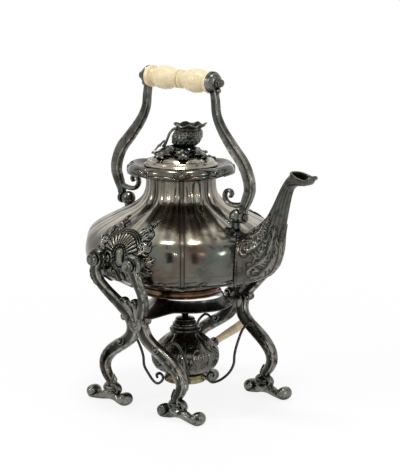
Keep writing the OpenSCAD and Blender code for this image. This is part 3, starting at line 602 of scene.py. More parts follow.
def bodyProfile(steps):
    b = bodyShape
    rows = [(mix(b["hemRadius"], b["radius"], s[0]), mix(b["hemZ"], b["bellyZ"], s[1]),
             s[2] * b["seam"]) for s in lowerShares + [(1, 1, 1)]]
    rows += [(mix(b["neckRadius"], b["radius"], s[0]), mix(b["bellyZ"], b["neckZ"], s[1]),
              s[2] * b["seam"]) for s in upperShares + [(0, 1, 0)]]
    return smoothRows(rows, steps)


# Columns crowd towards the seams, so that each crease stays crisp
def lobeAngles(perLobe):
    t = np.linspace(-1, 1, perLobe, endpoint=False)
    inLobe = np.sign(t) * (1 - (1 - np.abs(t)) ** 1.8)
    return ((np.arange(lobes)[:, None] + 0.5 + inLobe[None] / 2) * fullTurn / lobes).ravel()


def lobeShare(angles):
    return np.abs(np.sin(lobes * angles / 2)) ** 0.6


def fromSeam(angles):
    return np.abs((angles * lobes / fullTurn + 0.5) % 1 - 0.5) * fullTurn / lobes


# A ring with lobes: seam deep between them, drop lower there, and a fine reed along each seam
def lobedRing(radius, z, seam, drop=0, angles=None, reed=0, x=kettleX):
    angles = bodyAngles if angles is None else angles
    s = lobeShare(angles)
    r = radius - seam * (1 - s)
    if reed:
        # Softer pleats, two to each lobe, between the belly and the neck
        pleat = 1 - np.abs(np.sin(lobes * angles)) ** 0.7
        r = r - 1.9 * pleat * np.interp(z, (184, 204, 240, 251), (0, 1, 1, 0.4))
        r = r + reed * np.exp(-(fromSeam(angles) * radius / bodyShape["reedWidth"]) ** 2)
    return ringPoints(x, 0, r, angles, z - drop * (1 - s))


def hemLift(z):
    return hemRise * np.maximum(0, 1 - (z - bodyShape["hemZ"]) / 16) ** 1.5


bodyAngles = lobeAngles(60)
profile = bodyProfile(9)
profileZ = profile[:, 1]
# Radius, height above the floor, seam and share of the hem's rise
baseRows = [(30, 0, 0, 0), (66, 0, 0, 0), (70, 0, 1, 0.5), (74, -0.7, 2, 1), (75.4, -0.5, 2, 1),
    (76.6, 0.1, 2, 1)]
rings = [lobedRing(r, floorZ + up, d, w * hemRise) for r, up, d, w in baseRows]
for r, z, d in profile[3:]:
    lift = hemLift(z)
    fade = min(1, (z - 141) / 8, (250 - z) / 8)
    rings.append(lobedRing(r, z + lift, d, lift, reed=bodyShape["reed"] * max(0, fade)))
for r, z, d in profile[:6:-4]:
    rings.append(lobedRing(r - bodyShape["sheet"] - d * 0.25,
                           max(z + hemLift(z) * 1.25, floorZ + 1.4), d))
# Painted light streaks that fan out from the neck over the shoulder, below nought on the hollow
# attribute: a painted reflection of bright light
streak = (0.5 + 0.3 * np.sin(16 * bodyAngles + 1.1) + 0.2 * np.sin(37 * bodyAngles + 2.3)
          + 0.25 * np.sin(61 * bodyAngles + 0.4))
dark = []
for ring in rings:
    ringZ = ring[:, 2].mean()
    off = fromSeam(bodyAngles) * np.hypot(ring[:, 0] - kettleX, ring[:, 1])
    black = np.maximum(0.9 * np.exp(-((off - 1.9) / 0.9) ** 2), 0.5 * np.exp(-((ringZ - 160) / 0.5) ** 2))
    share = np.interp(ringZ, (192, 206, 226, 246), (0, 1, 1, 0.25))
    dark.append(np.where(black > 0.05, black, -np.clip(streak, 0.1, 1) * share))
body = skinPiece("lobed_body", rings, angle=60, dark=dark)


# Points on the lobed body, or lift above it. fill is how far the seams are filled in
def bodySurface(angle, z, lift, fill=0.0):
    r = np.interp(z, profileZ, profile[:, 0])
    d = np.interp(z, profileZ, profile[:, 2])
    slope = np.interp(z, profileZ, np.gradient(profile[:, 0], profile[:, 1]))
    s = np.maximum(lobeShare(angle), fill)
    out = 1 / np.sqrt(1 + slope ** 2)
    r = r - d * (1 - s) + lift * out
    return np.stack([kettleX + r * np.cos(angle), r * np.sin(angle),
                     z + hemLift(z) * lobeShare(angle) - lift * slope * out], axis=-1)


# A rounded bead laid over the hem
beadZ = bodyShape["hemZ"] + 1.2
beadR, beadSeam = [np.interp(beadZ, profileZ, profile[:, k]) for k in (0, 2)]
hemAngles = np.append(bodyAngles[::3], bodyAngles[0] + fullTurn)
share = lobeShare(hemAngles)
hemBead = beadPiece("hem_bead", ringPoints(kettleX, 0, beadR + 0.4 - beadSeam * (1 - share), hemAngles,
                                           beadZ + hemLift(beadZ) * share + 0.12), 2.8)
finishPiece(hemBead, "kettle", "old_silver", "castSilverPlate")
# Paired scrolls along the hem, one pair in each lobe
hemCurl = [
    (0, 4.6, 2), (5, 4, 3), (10, 4.6, 3.2), (14, 7, 3), (15.6, 10.4, 2.8), (13.6, 13.4, 2.4),
    (10.6, 13, 2.2), (10, 10.6, 2)]
curls = []
for middle in (np.arange(lobes) + 0.5) * math.pi / 4:
    for side in (-1, 1):
        path = [tuple(bodySurface(middle + side * u / 78, bodyShape["hemZ"] + rise, 0.3)) + (wide, wide)
                for u, rise, wide in hemCurl]
        curls.append(barPiece("hem_curl", path, (math.cos(middle), math.sin(middle), 0), 10, steps=3))
finishPiece(joinPieces("hem_scrolls", curls), "kettle", "old_silver", "chasedSilverPlate")

footRows = [
    (41.5, 0), (44.5, 0), (45.3, 0.8), (45.1, 1.6), (43.8, 3), (43.6, 5), (44.3, 6.4), (45.6, 7),
    (46, 8), (45.4, 9), (44, 9.8), (43.7, 14), (44.4, 17), (46.6, 20), (49, 21.6), (49.4, 22.4),
    (41.5, 22.4), (41.5, 0)]
footRing = skinPiece("moulded_foot_ring", [ringPoints(kettleX, 0, radius, anglesOf(128), 122 + rise)
                                           for radius, rise in footRows], capped=False, angle=35)
finishPiece(footRing, "kettle", "warm_silver", "wornSilverPlate", "kettle_foot")
print("body made")


# Chased work on the body

cartouche = {
    "angle": -83.6, "middleZ": 178, "reach": 46, "low": -30, "high": 66, "columns": 250, "rows": 270}
cartoucheScrolls = [
    (20, -2, 8.5, 200, -1.2, 1.9, 2.4), (31, 15, 6.5, 250, 1.2, 1.6, 2.2),
    (12, -19, 6, 60, -1.1, 1.5, 2)]
cartoucheLeaves = [
    (29, 6, 30, 20, 45, 4.6, 2.2), (30, -4, 0, 20, 40, 4.6, 2.2), (27, -11, -25, 19, 40, 4.4, 2.1),
    (20, -17, -45, 17, 40, 4.2, 2), (9, -24, -75, 13, 40, 3.4, 1.8), (30, 24, 35, 18, 50, 4, 2),
    (20, 33, 62, 16, -60, 3.6, 1.8), (31, 46, 150, 10, -40, 2.6, 1.4, 3),
    (35, 55, 20, 8, 40, 2.2, 1.3, 3)]
cartoucheBlossoms = [(31, 42, 5.4, 5, 2), (35, 52, 4.2, 5, 1.7), (39.5, 60, 3, 5, 1.4)]


# A fan shell over a beaded boss, with scrolls, leaves and blossoms down both sides
def cartoucheStrokes():
    half = strokesOf(cartoucheScrolls, cartoucheLeaves, cartoucheBlossoms)
    for a in range(18, 91, 12):
        c, s = polar(1, a)
        half.append(([(13 * c, 3 + 13 * s), (25 * c, 3 + 25 * s)], (1.2, 2.5), 2.2))
    for r, wide in ((29, 1.2), (32.4, 0.9), (35, 0.7)):
        a = np.radians(np.linspace(22, 100, 14))
        half.append((np.stack([r * np.cos(a), 3 + r * np.sin(a)], axis=1), (wide, wide), 1.5))
    half.append(([(24, 30), (30, 40), (33, 50), (38, 59)], (1, 0.6), 1.3))
    strokes = half + [(np.array(path) * (-1, 1), wide, tall) for path, wide, tall in half]
    strokes.append(([(0, -4), (0, 5)], (6, 6), 3.2))
    for k in range(22):
        c, s = polar(1, 360 * k / 22)
        strokes += dotStroke(9.3 * c, 0.5 + 13.2 * s, 1.2, 1.8)
    return strokes + leafStroke(0, -20, -90, 9, 0, 3.2, 1.8)


def cartouchePiece(name, sign):
    p = cartouche
    u, v = np.meshgrid(np.linspace(-p["reach"], p["reach"], p["columns"]),
                       np.linspace(p["low"], p["high"], p["rows"]))
    height, gap = chased(u / 0.88, v / 0.94, cartoucheStrokes())
    ground = np.clip(1 - gap / 1.7, 0, 1)
    ground = ground * ground * (3 - 2 * ground)
    slopes = np.hypot(np.diff(profile[:, 0]), np.diff(profile[:, 1]))
    length = np.append(0, np.cumsum(slopes))
    z = np.interp(np.interp(p["middleZ"], profileZ, length) + v, length, profileZ)
    angle = math.radians(p["angle"]) + u / bodyShape["radius"]
    points = bodySurface(angle, z, mix(-1.1, 0.15, ground) + height, 0.72)
    points[..., 1] *= sign
    dark = np.clip(ground * 1.2 * (1 - height / 1.4), -0.22, 1)
    piece = skinPiece(name, points, False, False, 70, dark, outward=False)
    middle = piece.data.polygons[len(piece.data.polygons) // 2]
    if middle.normal.y * middle.center.y < 0:
        piece.data.flip_normals()
    finishPiece(piece, "kettle", "old_silver", "chasedSilverPlate")


cartouchePiece("near_cartouche", 1)
cartouchePiece("far_cartouche", -1)
finishPiece(body, "kettle", "old_silver", "polishedSilverPlate", "kettle_body")
print("chased work made")


# Border round the mouth

rimSection = [
    (0, 0, 0), (6.5, 2.6, 0.2), (13.5, 4, 0.5), (19, 6, 1), (21.5, 10, 1), (19.5, 14.2, 1),
    (15.5, 16, 0.8), (11.5, 14.6, 0.5), (8, 12.2, 0.2), (5, 11.6, 0), (2.6, 12.5, 0), (-1.5, 12.5, 0)]
rimEyes = {"gap": 6.2, "z": 261.6, "radius": 59.6, "size": 2.9}
eyeRows = [
    (0.1, 0.2, 1), (0.42, 0.2, 1), (0.52, 2, 0.8), (0.8, 3, 0), (1, 2.4, 0), (1.1, 0.4, 0.3),
    (1.1, -2, 0.5)]
hinge = {"y": 43.5, "z": 268.3, "bore": 1.05, "radius": 2.4}
rimAngles = lobeAngles(40)


# A hinge knuckle along x from the given start
def knucklePiece(name, start, length):
    bore, radius = hinge["bore"], hinge["radius"]
    return turnedPiece(name, [(bore, 0), (radius - 0.2, 0), (radius, 0.3), (radius, length - 0.3),
                              (radius - 0.2, length), (bore, length)],
                       (start, hinge["y"], hinge["z"]), (1, 0, 0), 32)


# The rolled eye at one side of a seam
def eyePiece(a):
    c, s = math.cos(a), math.sin(a)
    out = np.array((c, s, 0))
    place = np.array((kettleX, 0, rimEyes["z"])) + out * (rimEyes["radius"] - 2.6)
    turn = anglesOf(20)[:, None]
    rings = [place + out * h + r * rimEyes["size"] * (np.cos(turn) * (-s, c, 0) + np.sin(turn) * upward)
             for r, h, black in eyeRows]
    return skinPiece("eye", rings, dark=np.repeat([[row[2]] for row in eyeRows], 20, axis=1))


section = np.vstack([smoothRows(rimSection, 6), [(-1.5, 6, 0), (-1.5, 0, 0)]])
rings = [lobedRing(39 + s[0], 252 + s[1], 2.9 * s[2], 2 * s[2], rimAngles) for s in section]
rimParts = [skinPiece("border", rings + rings[:1], capped=False, angle=60)]
for s in (-1, 1):
    rimParts.append(knucklePiece("knuckle", kettleX + s * 7.6 - 2.4, 4.8))
    rimParts.append(blockPiece("knuckle_stand", (kettleX + s * 7.6, hinge["y"], 265.4), (4.4, 3.6, 4.6)))
# Scroll ends that meet at each seam, and the rolled edge that joins them round each lobe
for k in range(lobes):
    seamAngle = k * math.pi / 4
    for s in (-1, 1):
        rimParts.append(eyePiece(seamAngle + s * rimEyes["gap"] / rimEyes["radius"]))
    t = np.linspace(0, 1, 15)
    start = (rimEyes["gap"] + 1) / rimEyes["radius"]
    a = seamAngle + mix(start, math.pi / 4 - start, t)
    swell = np.sin(math.pi * t)
    r = rimEyes["radius"] + 0.7 * swell - 2.2 * (1 - lobeShare(a))
    rimParts.append(beadPiece("edge", ringPoints(kettleX, 0, r, a, 258 + 1.5 * swell), 2 + 1.6 * swell))
finishPiece(joinPieces("mouth_border", rimParts), "kettle", "old_silver", "polishedSilverPlate",
            "mouth_rim")
print("border made")


# Spout

spoutShape = {
    "rootWidth": 26, "lipWidth": 9, "rootHeight": 31, "rootZ": 172, "sheet": 1.4, "sides": 168,
    "reeds": 7, "reedDepth": 1.3, "dip": 4.6}
# Each row: top x and z, bottom x and z from the kettle's axis, and share of the root's width
spoutRows = [
    (104, 204.5, 112, 150, 0.96), (114, 208.5, 127, 158, 0.87), (122, 214.5, 139, 168, 0.75),
    (128.5, 220.5, 145.5, 182, 0.65), (133, 227, 148, 200, 0.57), (136.5, 233, 151, 214, 0.5),
    (141, 241, 155, 230, 0.4), (146, 250, 159, 246, 0.31), (151, 258.5, 163, 256, 0.27),
    (156, 266.5, 171, 261, 0.28), (159.5, 271, 187, 263.6, 0.33), (163, 275.5, 191.6, 272, 0.36)]
spoutScrolls = [
    (-24, 13, 8, 90, 1.3, 1.7, 2), (-8, 10, 7, 0, -1.2, 1.5, 1.8), (20, 12, 8, 180, 1.3, 1.7, 2),
    (28, 34, 6, 30, 1.2, 1.4, 1.6), (2, 30, 5, 200, -1.2, 1.3, 1.6)]
spoutLeaves = [
    (-30, 20, 80, 24, 20, 4, 1.7), (-17, 16, 70, 30, 30, 4, 1.7), (-4, 12, 80, 34, 10, 4, 1.7, 5),
    (9, 10, 70, 30, 30, 4, 1.7), (30, 8, 85, 40, 15, 5, 2, 6), (22, 22, 75, 34, 20, 4, 1.8, 5),
    (34, 46, 95, 26, -15, 4, 1.5, 5), (-36, 40, 80, 26, 10, 4, 1.5, 5), (12, 36, 80, 26, 25, 4, 1.6, 5),
    (-10, 34, 85, 30, -10, 3.6, 1.5, 5)]
spoutBlossoms = [(-15, 4, 4.6, 5, 1.8), (27, 4, 4.6, 5, 1.8)]


def blunted(wave, power):
    return np.sign(wave) * np.abs(wave) ** power


def spoutRings(rows, inset, sides, chase=None):
    s = spoutShape
    t = anglesOf(sides)
    rings = []
    for i, row in enumerate(rows):
        share = i / (len(rows) - 1)
        top, low = np.array([row[0], 0, row[1]]), np.array([row[2], 0, row[3]])
        tall = np.linalg.norm(top - low)
        grow = (chase[i] if chase is not None else 0) - inset
        b = mix(row[4] * s["rootWidth"], s["lipWidth"], share) + grow
        lip = max(0, (share - 0.8) / 0.2) ** 1.5
        blunt = 1 - 0.42 * lip * (np.cos(t) < 0)
        a = (tall / 2 + grow) * blunted(np.cos(t), blunt)
        ring = (top + low) / 2 + a[:, None] * (top - low) / tall
        ring[:, 1] -= b * (1 + 0.15 * lip) * blunted(np.sin(t), blunt)
        # The lip dips at its sides, most towards the tip, and the tip curls up
        ring[:, 2] -= s["dip"] * lip * np.sin(t) ** 2 * (1 - np.cos(t)) ** 2 / 2.6
        ring[:, 2] += 1.6 * lip * np.maximum(0, -np.cos(t)) ** 2 - 0.8 * lip
        ring[:, 0] += kettleX
        rings.append(ring)
    return rings


# The ring where the spout meets the body
def rootRing(inset, sides, out=0.0):
    s = spoutShape
    t = anglesOf(sides)
    y = -(s["rootWidth"] - inset) * np.sin(t)
    z = s["rootZ"] + (s["rootHeight"] - inset) * np.cos(t)
    r = np.interp(z, profileZ, profile[:, 0]) - 2.5 + out
    return np.stack([kettleX + np.sqrt(r * r - y * y), y, z], axis=1)


def spoutPiece():
    s = spoutShape
    rows = smoothRows(spoutRows, 13)
    sides = s["sides"]
    share = np.linspace(0, 1, len(rows))[:, None]
    t = anglesOf(sides)[None]
    fromTop = np.abs((t + math.pi) % fullTurn - math.pi)
    u = (fromTop - math.pi / 2) * 24 * (1 - 0.55 * share)
    height, gap = chased(u, 140 * share + 0 * u, strokesOf(spoutScrolls, spoutLeaves, spoutBlossoms))
    reed = np.abs(np.cos(s["reeds"] * t + 0.6 * np.sin(t) * share)) ** 0.8
    fade = np.clip(share / 0.1, 0, 1) * np.clip((1 - share) / 0.2, 0, 1)
    ground = np.clip(1 - gap / 1.5, 0, 1)
    flute = s["reedDepth"] * (1 - 0.45 * share) * (reed - 0.7) * fade * (1 - ground)
    chase = np.where(height > 0.2, height * fade, flute - 0.5 * ground * fade)
    dark = np.clip(np.maximum((1 - reed * 1.9) * fade * 0.75, ground * (1 - height / 1.1)), -0.3, 0.95)
    outer = [rootRing(0, sides)] + spoutRings(rows, 0, sides, chase)
    inner = spoutRings(rows, s["sheet"] + 0.5, sides)[::-6] + [rootRing(1.9, sides)]
    clean = dark[0] * 0
    tube = skinPiece("spout_tube", outer + inner + outer[:1], False, angle=70,
                     dark=[clean] + list(dark) + [clean + 0.5] * len(inner) + [clean])
    lip = spoutRings(rows, 0, 64)[-1]
    lipBead = beadPiece("lip_bead", np.vstack([lip, lip[:2]]), 2.2)
    root = rootRing(0.4, 192, 3.1)
    root = np.vstack([root, root[:2]])
    rootBead = beadPiece("root_bead", root, np.resize([2.9, 2.3, 1.7, 2.3], len(root)), (1, 0, 0))
    return joinPieces("reeded_spout", [tube, lipBead, rootBead])


finishPiece(spoutPiece(), "kettle", "dark_silver", "chasedSilverPlate", "spout")
print("spout made")


# Lid

lidShape = {"seatZ": 264.5, "seam": 1.5}
domeRows = [
    (38.2, 3.6, 0), (36.6, 6.2, 0), (34.6, 6.8, 0.2), (33, 7.2, 0.8), (29.5, 10.2, 1), (22, 13, 1),
    (13.5, 15.1, 0.7), (6, 16, 0.2), (1, 16.3, 0)]
underRows = [
    (39.2, 3.1), (40.4, 2.6), (41, 1.9), (41, 1.1), (40.4, 0.3), (36.8, 0.3), (36.8, -6), (35.3, -6),
    (35.3, 2), (30, 8), (22, 11.4), (12, 13.6), (1, 14.5)]
lidRows = [tuple(row) for row in smoothRows(domeRows, 5)[::-1]] + [row + (0,) for row in underRows]
lidRings = [lobedRing(r, lidShape["seatZ"] + z, 0, lidShape["seam"] * w, rimAngles)
            for r, z, w in lidRows]
# The whole lid is painted lighter, below nought on the hollow attribute: a painted reflection of a bright
# ceiling
lid = skinPiece("lobed_lid", lidRings, dark=np.full((len(lidRings), len(rimAngles)), -0.55))
lid = joinPieces("lobed_lid", [lid, knucklePiece("lid_knuckle", kettleX - 4.9, 9.8),
                               blockPiece("lid_tab", (kettleX, 40.4, 267.6), (9.4, 5.4, 2.2))])
finishPiece(lid, "lid", "old_silver", "polishedSilverPlate", "lid")


# Leaves and bud on the lid

finial = {"z": 281, "leafTurns": range(20, 380, 60), "budHeight": 27, "shift": 2.5, "lean": 5}
discRows = [(1.55, 0), (7.4, 0), (8, 0.6), (7.8, 2), (6, 2.6), (1.55, 2.6)]
finialLeaf = [
    (4, 2.6, 3), (9, 4.4, 6.4), (15, 3.8, 9.6), (21, 1.2, 10.4), (27, -2.4, 8.6), (31.6, -4.6, 5),
    (34.4, -3.2, 1.2)]
# Each row: radius, share of the height, and how much of the scales shows
budRows = [
    (5, 0, 0), (8, 0.04, 0), (14, 0.17, 1), (17, 0.38, 1), (17.2, 0.58, 1), (15, 0.74, 1),
    (13.4, 0.8, 0.4), (14.6, 0.88, 0), (17, 0.95, 0), (17.6, 0.98, 0), (16, 1, 0), (12.8, 0.95, 0),
    (9, 0.84, 0), (3, 0.78, 0)]
stalk = [(-2, -2, 24.5, 3.4), (-5.4, -5.2, 23.9, 3.2), (-8.6, -8.2, 20.1, 3), (-10.4, -10, 14.1, 3),
         (-12, -11.6, 8.5, 3.2), (-14, -13.4, 4.1, 4)]
twigLeaf = [(-10, -10, 12, 1), (-14, -13, 10, 3.6), (-18, -17, 5, 4.6), (-21, -20, 0, 1.2)]


def finialLeaves():
    parts = [turnedPiece("disc", discRows, (kettleX, 0, finial["z"]), upward, 40)]
    for a in finial["leafTurns"]:
        c, s = polar(1, a)
        rows = [(kettleX + r * c, r * s, finial["z"] + z, w) for r, z, w in finialLeaf]
        parts.append(leafPiece("leaf", rows, (-s, c, 0), 5, 0.42, 0.16, 1.2, 1.7))
    return joinPieces("veined_leaves", parts)


def budPiece():
    f = finial
    angles = anglesOf(240)
    rows = smoothRows(budRows, 7)
    ruffle = np.sin(7 * angles + 1.1 * np.sin(2 * angles))
    furrow = np.abs(np.sin(4 * angles)) ** 0.5
    rings, dark = [], []
    for i, (r, t, scales) in enumerate(rows):
        flare = np.clip((t - 0.82) / 0.16, 0, 1)
        row = t * 9
        scale = np.abs(np.sin(8 * angles + (math.pi / 2) * (int(row) % 2))) ** 0.7
        scale = scale * (0.35 + 0.65 * (1 - row % 1)) * scales
        radius = r + 1.3 * (scale - 0.6) * scales - 1.2 * (1 - furrow) * scales + 1.5 * ruffle * flare
        z = f["z"] + 2.5 + t * f["budHeight"] + 1.2 * flare * np.sin(7 * angles + 1.6)
        shift = f["shift"] + f["lean"] * t
        rings.append(ringPoints(kettleX + shift, shift, radius, angles, z))
        inside = i > len(rows) * 0.76
        dark.append(np.clip((0.75 - scale) * scales + (0.9 if inside else 0)
                            + 0.5 * flare * (ruffle < -0.5), 0, 0.95))
    bud = skinPiece("bud_cup", rings, angle=60, dark=dark)
    stem = barPiece("stem", [(kettleX + x, y, f["z"] + z, w, w) for x, y, z, w in stalk], (1, -1, 0), 18)
    twig = leafPiece("twig_leaf", [(kettleX + x, y, f["z"] + z, w) for x, y, z, w in twigLeaf],
                     (1, -1, 0), 3, 0.3, 0.2, 0.9, 0.6, 13)
    return joinPieces("petalled_bud", [bud, stem, twig])


finishPiece(finialLeaves(), "lid", "dark_silver", "castSilverPlate", "finial_leaves")
finishPiece(budPiece(), "lid", "old_silver", "castSilverPlate", "finial_bud")
print("lid and flower made")


# Apron between the frames

apronShape = {"mouth": 39, "radius": 48, "tip": 74.8, "top": 121.4, "z": 110.5, "sheet": 1.4}


def apronRing(t, inset, angles):
    p = apronShape
    tip = np.abs(np.sin(angles)) ** 30
    wave = np.abs(np.cos(4 * angles)) ** 0.6
    r = mix(p["mouth"], mix(p["radius"], p["tip"], tip) - 1.6 * (1 - wave), t ** 1.4) - inset
    z = mix(p["top"], p["z"] - 6 * tip, 1 - (1 - t) ** 1.25) - inset * 0.8
    return ringPoints(standX, 0, r, angles, z)


steps = np.linspace(0, 1, 14)
apronAngles = anglesOf(288)
rings = ([apronRing(t, 0, apronAngles) for t in steps[::-1]]
         + [apronRing(t, apronShape["sheet"], apronAngles) for t in steps])
apron = skinPiece("waved_apron", rings + rings[:1], capped=False, angle=60)
edge = beadPiece("apron_bead", apronRing(1, 0.3, np.append(apronAngles, apronAngles[:2])), 2)
finishPiece(joinPieces("waved_apron", [apron, edge]), "stand", "old_silver", "blackenedSilverPlate",
            "apron_ring")
print("apron made")


# Stand frames

standShape = {
    "waistZ": 99, "waistX": 7.5, "waistY": 80, "pivotX": 27, "pivotZ": 174, "headY": 114, "footX": 51,
    "footY": 70}
# Each row: shares of the way out and along, width and thickness
upperLeg = [
    (1, 0.98, 11, 8), (1.17, 0.855, 10.5, 8), (1.23, 0.69, 10.5, 8), (1.02, 0.5, 11, 8),
    (0.61, 0.335, 11.5, 8.5), (0.2, 0.19, 12.5, 9), (0, 0.06, 14, 9)]
lowerLeg = [
    (0, 0.05, 15, 9), (0.1, 0.14, 14, 9), (0.33, 0.222, 13, 9), (0.63, 0.3, 13.5, 9.5),
    (0.93, 0.385, 13, 10), (1.14, 0.485, 12, 10), (1.2, 0.585, 11, 9.5), (1.13, 0.672, 10, 9),
    (1.02, 0.74, 9, 8.5), (1, 0.82, 9, 8.5), (1, 0.895, 9, 8.5)]
# Rolled ends: x, z, radius, thickness, start and sense of the curl
frameCurls = [(8.8, 126, 5, 8.4, 200, -1), (15.5, 106.5, 5.4, 9.4, 180, -1), (28, 76.5, 5.2, 9.6, 150, 1)]
# Leaves that clasp the legs: name, points [x, height for y, z, half width], side and shape
frameLeaves = [
    ("knee_leaf", [(33, 75, 75, 3), (42, 70, 71, 6), (52, 62, 63, 7), (59, 52, 53, 6.4),
                   (63.5, 43, 44, 4.6), (67, 37, 38.5, 1.6)], 1, (6, 0.3, 0.45, 1.6, 0.6, 17)),
    ("shoulder_leaf", [(24, 128, 128, 2.6), (32, 138, 137, 5), (37.6, 150, 148, 5.4),
                       (38, 160, 159, 4), (35.5, 166, 166, 1.4)], -1, (5, 0.3, 0.45, 1.4, 0.5, 15)),
    ("ankle_leaf", [(48, 34, 34, 2), (45.4, 28, 28, 4.4), (45, 21, 21, 5), (43.6, 15, 15, 3.4),
                    (41, 12, 12.5, 1)], -1, (4, 0.3, 0.45, 1.4, 0.5, 15)),
]
headRows = [(0, 0), (7.2, 0), (8, 0.8), (7.6, 2), (8, 3.2), (8, 7.2), (7.2, 8), (0, 8)]
hubRows = [
    (0, 0), (9, 0), (10, 1), (10, 8.5), (9, 9.5), (7, 9.9), (6, 8.8), (3.4, 9), (2.6, 10.6), (0, 11)]


# How far out the frame stands at a height
def frameY(z):
    s = standShape
    zs = [0, 60] + [mix(s["waistZ"], s["pivotZ"], k) for k in (0, 0.25, 0.42, 0.68)] + [164]
    ys = [s["footY"], 74] + [mix(s["waistY"], s["headY"], k) for k in (0, 0.2, 0.44, 0.83)] + [s["headY"]]
    return np.interp(z, zs, ys)


def legRows():
    s = standShape
    rows = []
    for leg, endX, endZ in ((upperLeg, s["pivotX"], s["pivotZ"]), (lowerLeg, s["footX"], 0)):
        for out, along, wide, thick in leg:
            z = mix(s["waistZ"], endZ, along)
            rows.append((mix(s["waistX"], endX, out), frameY(z), z, wide, thick))
    return rows


# A rolled end: a short spiral band with a button in its eye
def rolledEnd(x, z, radius, thick, start, sense):
    rows = []
    for t in np.linspace(0, 1, 14):
        across, up = polar(radius * (1 - 0.72 * t), start + sense * t * 1.1 * 360)
        rows.append((x + across, frameY(z), z + up, radius * mix(0.7, 0.45, t), thick))
    button = [(0, -1), (radius * 0.46, -1), (radius * 0.44, thick * 0.5), (radius * 0.3, thick * 0.62),
              (0, thick * 0.66)]
    return [barPiece("band", rows, sides=14, steps=2)] + [
        turnedPiece("button", button, (x, frameY(z), z), (0, s, 0), 20) for s in (-1, 1)]


def framePiece():
    s = standShape
    parts = [barPiece("leg", legRows(), sides=40, section=channelSection, sunk=0.8)]
    stem = [(3, 108, 8), (3.8, 113, 7.4), (5, 118, 7), (6.6, 122.5, 6.6), (8, 125.5, 5.6)]
    stem = [(x, frameY(z), z, wide, 7.6) for x, z, wide in stem]
    parts.append(barPiece("stem", stem, sides=16, steps=3))
    for curl in frameCurls:
        parts += rolledEnd(*curl)
    for name, points, side, shape in frameLeaves:
        rows = [(x, frameY(at), z, wide) for x, at, z, wide in points]
        parts.append(leafPiece(name, rows, (0, side, 0), *shape))
    parts.append(turnedPiece("head", headRows, (s["pivotX"], 110, s["pivotZ"]), (0, 1, 0)))
    scroll = []
    for turn in range(-60, 131, 19):
        x, z = polar(9.6, turn)
        t = (turn + 60) / 190
        scroll.append((s["pivotX"] + x, s["headY"], s["pivotZ"] + z, mix(3.4, 5.6, t), mix(6, 9.4, t)))
    parts.append(barPiece("head_scroll", scroll, sides=16, steps=2))
    half = joinPieces("half", parts)
    other = copyPiece(half, "other_half", (-1, 1, 1))
    hub = turnedPiece("hub", hubRows, (0, frameY(101) - 4.75, 101), (0, 1, 0), 40)
    return joinPieces("frame", [half, other, hub])


frameShape = framePiece()
for name, sign in (("near", -1), ("far", 1)):
    made = copyPiece(frameShape, name + "_scroll_frame", (1, sign, 1), (standX, 0, 0))
    finishPiece(made, "stand", "dark_silver", "castSilverPlate", name + "_frame")
bpy.data.objects.remove(frameShape)
print("frames made")


# Feet

footShape = {"toe": 8, "rearToe": -20, "frontToe": 30, "width": 14}
cuffRows = [
    (0, 0), (5, 0), (8.4, 2), (9.6, 3.4), (9.8, 4.8), (8.4, 6), (6.6, 7.4), (6.4, 8.6), (7.8, 9.8),
    (8.2, 11), (7.2, 12.2), (5, 12.8), (0, 12.8)]
toeButton = [(0, -1), (4.6, -1), (4.4, 7), (3.4, 8.4), (1.6, 9.2), (0, 9.3)]
instepLeaf = [(2, 0, 15.5, 2), (8, 0, 13.6, 4.4), (15, 0, 9.8, 5), (21, 0, 8.4, 3.6), (25, 0, 10, 1)]
ankleCurl = [
    (3, 22, 5, 9), (7.6, 20.4, 5, 9), (10.4, 16.6, 4.6, 8.6), (9.4, 13.2, 4.2, 8.2),
    (6.4, 13.6, 3.8, 8)]
corners = (("near_front", 1, -1), ("near_rear", -1, -1), ("far_front", 1, 1), ("far_rear", -1, 1))


# A toe's scroll between two headings, from one radius to another
def toeRows(x, headings, radii, power):
    rows = []
    for k in range(12):
        out, up = polar(mix(radii[0], radii[1], (k / 11) ** power), mix(*headings, k / 11))
        rows.append((x + out, 0, footShape["toe"] + up, 5.4, footShape["width"]))
    return rows


def footPiece():
    f = footShape
    rows = toeRows(f["rearToe"], (-150, 275), (2.2, f["toe"] - 2.7), 0.7)
    rows += [(-11, 0, 5, 8.6, 11), (-4, 0, 8.4, 12, 10), (5, 0, 8.8, 12, 10), (18, 0, 5.2, 9, 11)]
    rows += toeRows(f["frontToe"], (-95, 330), (f["toe"] - 2.7, 2.2), 1.4)
    parts = [barPiece("sole", rows, sides=24, steps=4),
             turnedPiece("cuff", cuffRows, (0, 0, 7), upward, 32)]
    for x in (f["rearToe"], f["frontToe"]):
        for s in (-1, 1):
            parts.append(turnedPiece("toe_button", toeButton, (x, 0, f["toe"]), (0, s, 0), 24))
    # A leaf that runs from the cuff down onto the front toe
    parts.append(leafPiece("instep_leaf", instepLeaf, (0, 1, 0), 4, 0.3, 0.3, 1.2, 0.4, 15))
    for side in (-1, 1):
        rows = [(side * x, 0, z, wide, thick) for x, z, wide, thick in ankleCurl]
        parts.append(barPiece("ankle_curl", rows, sides=18, steps=5))
    return joinPieces("foot", parts)


foot = footPiece()
for name, sx, sy in corners:
    made = copyPiece(foot, name + "_foot_scrolls", (sx, sy, 1),
                     (standX + sx * standShape["footX"], sy * standShape["footY"], 0))
    finishPiece(made, "stand", "dark_silver", "castSilverPlate", name + "_foot")
bpy.data.objects.remove(foot)
print("feet made")


# Brackets that carry the burner

bracketShape = {"x": 34, "y": 37, "wire": 3, "burnerFoot": 23.5, "footZ": 21}


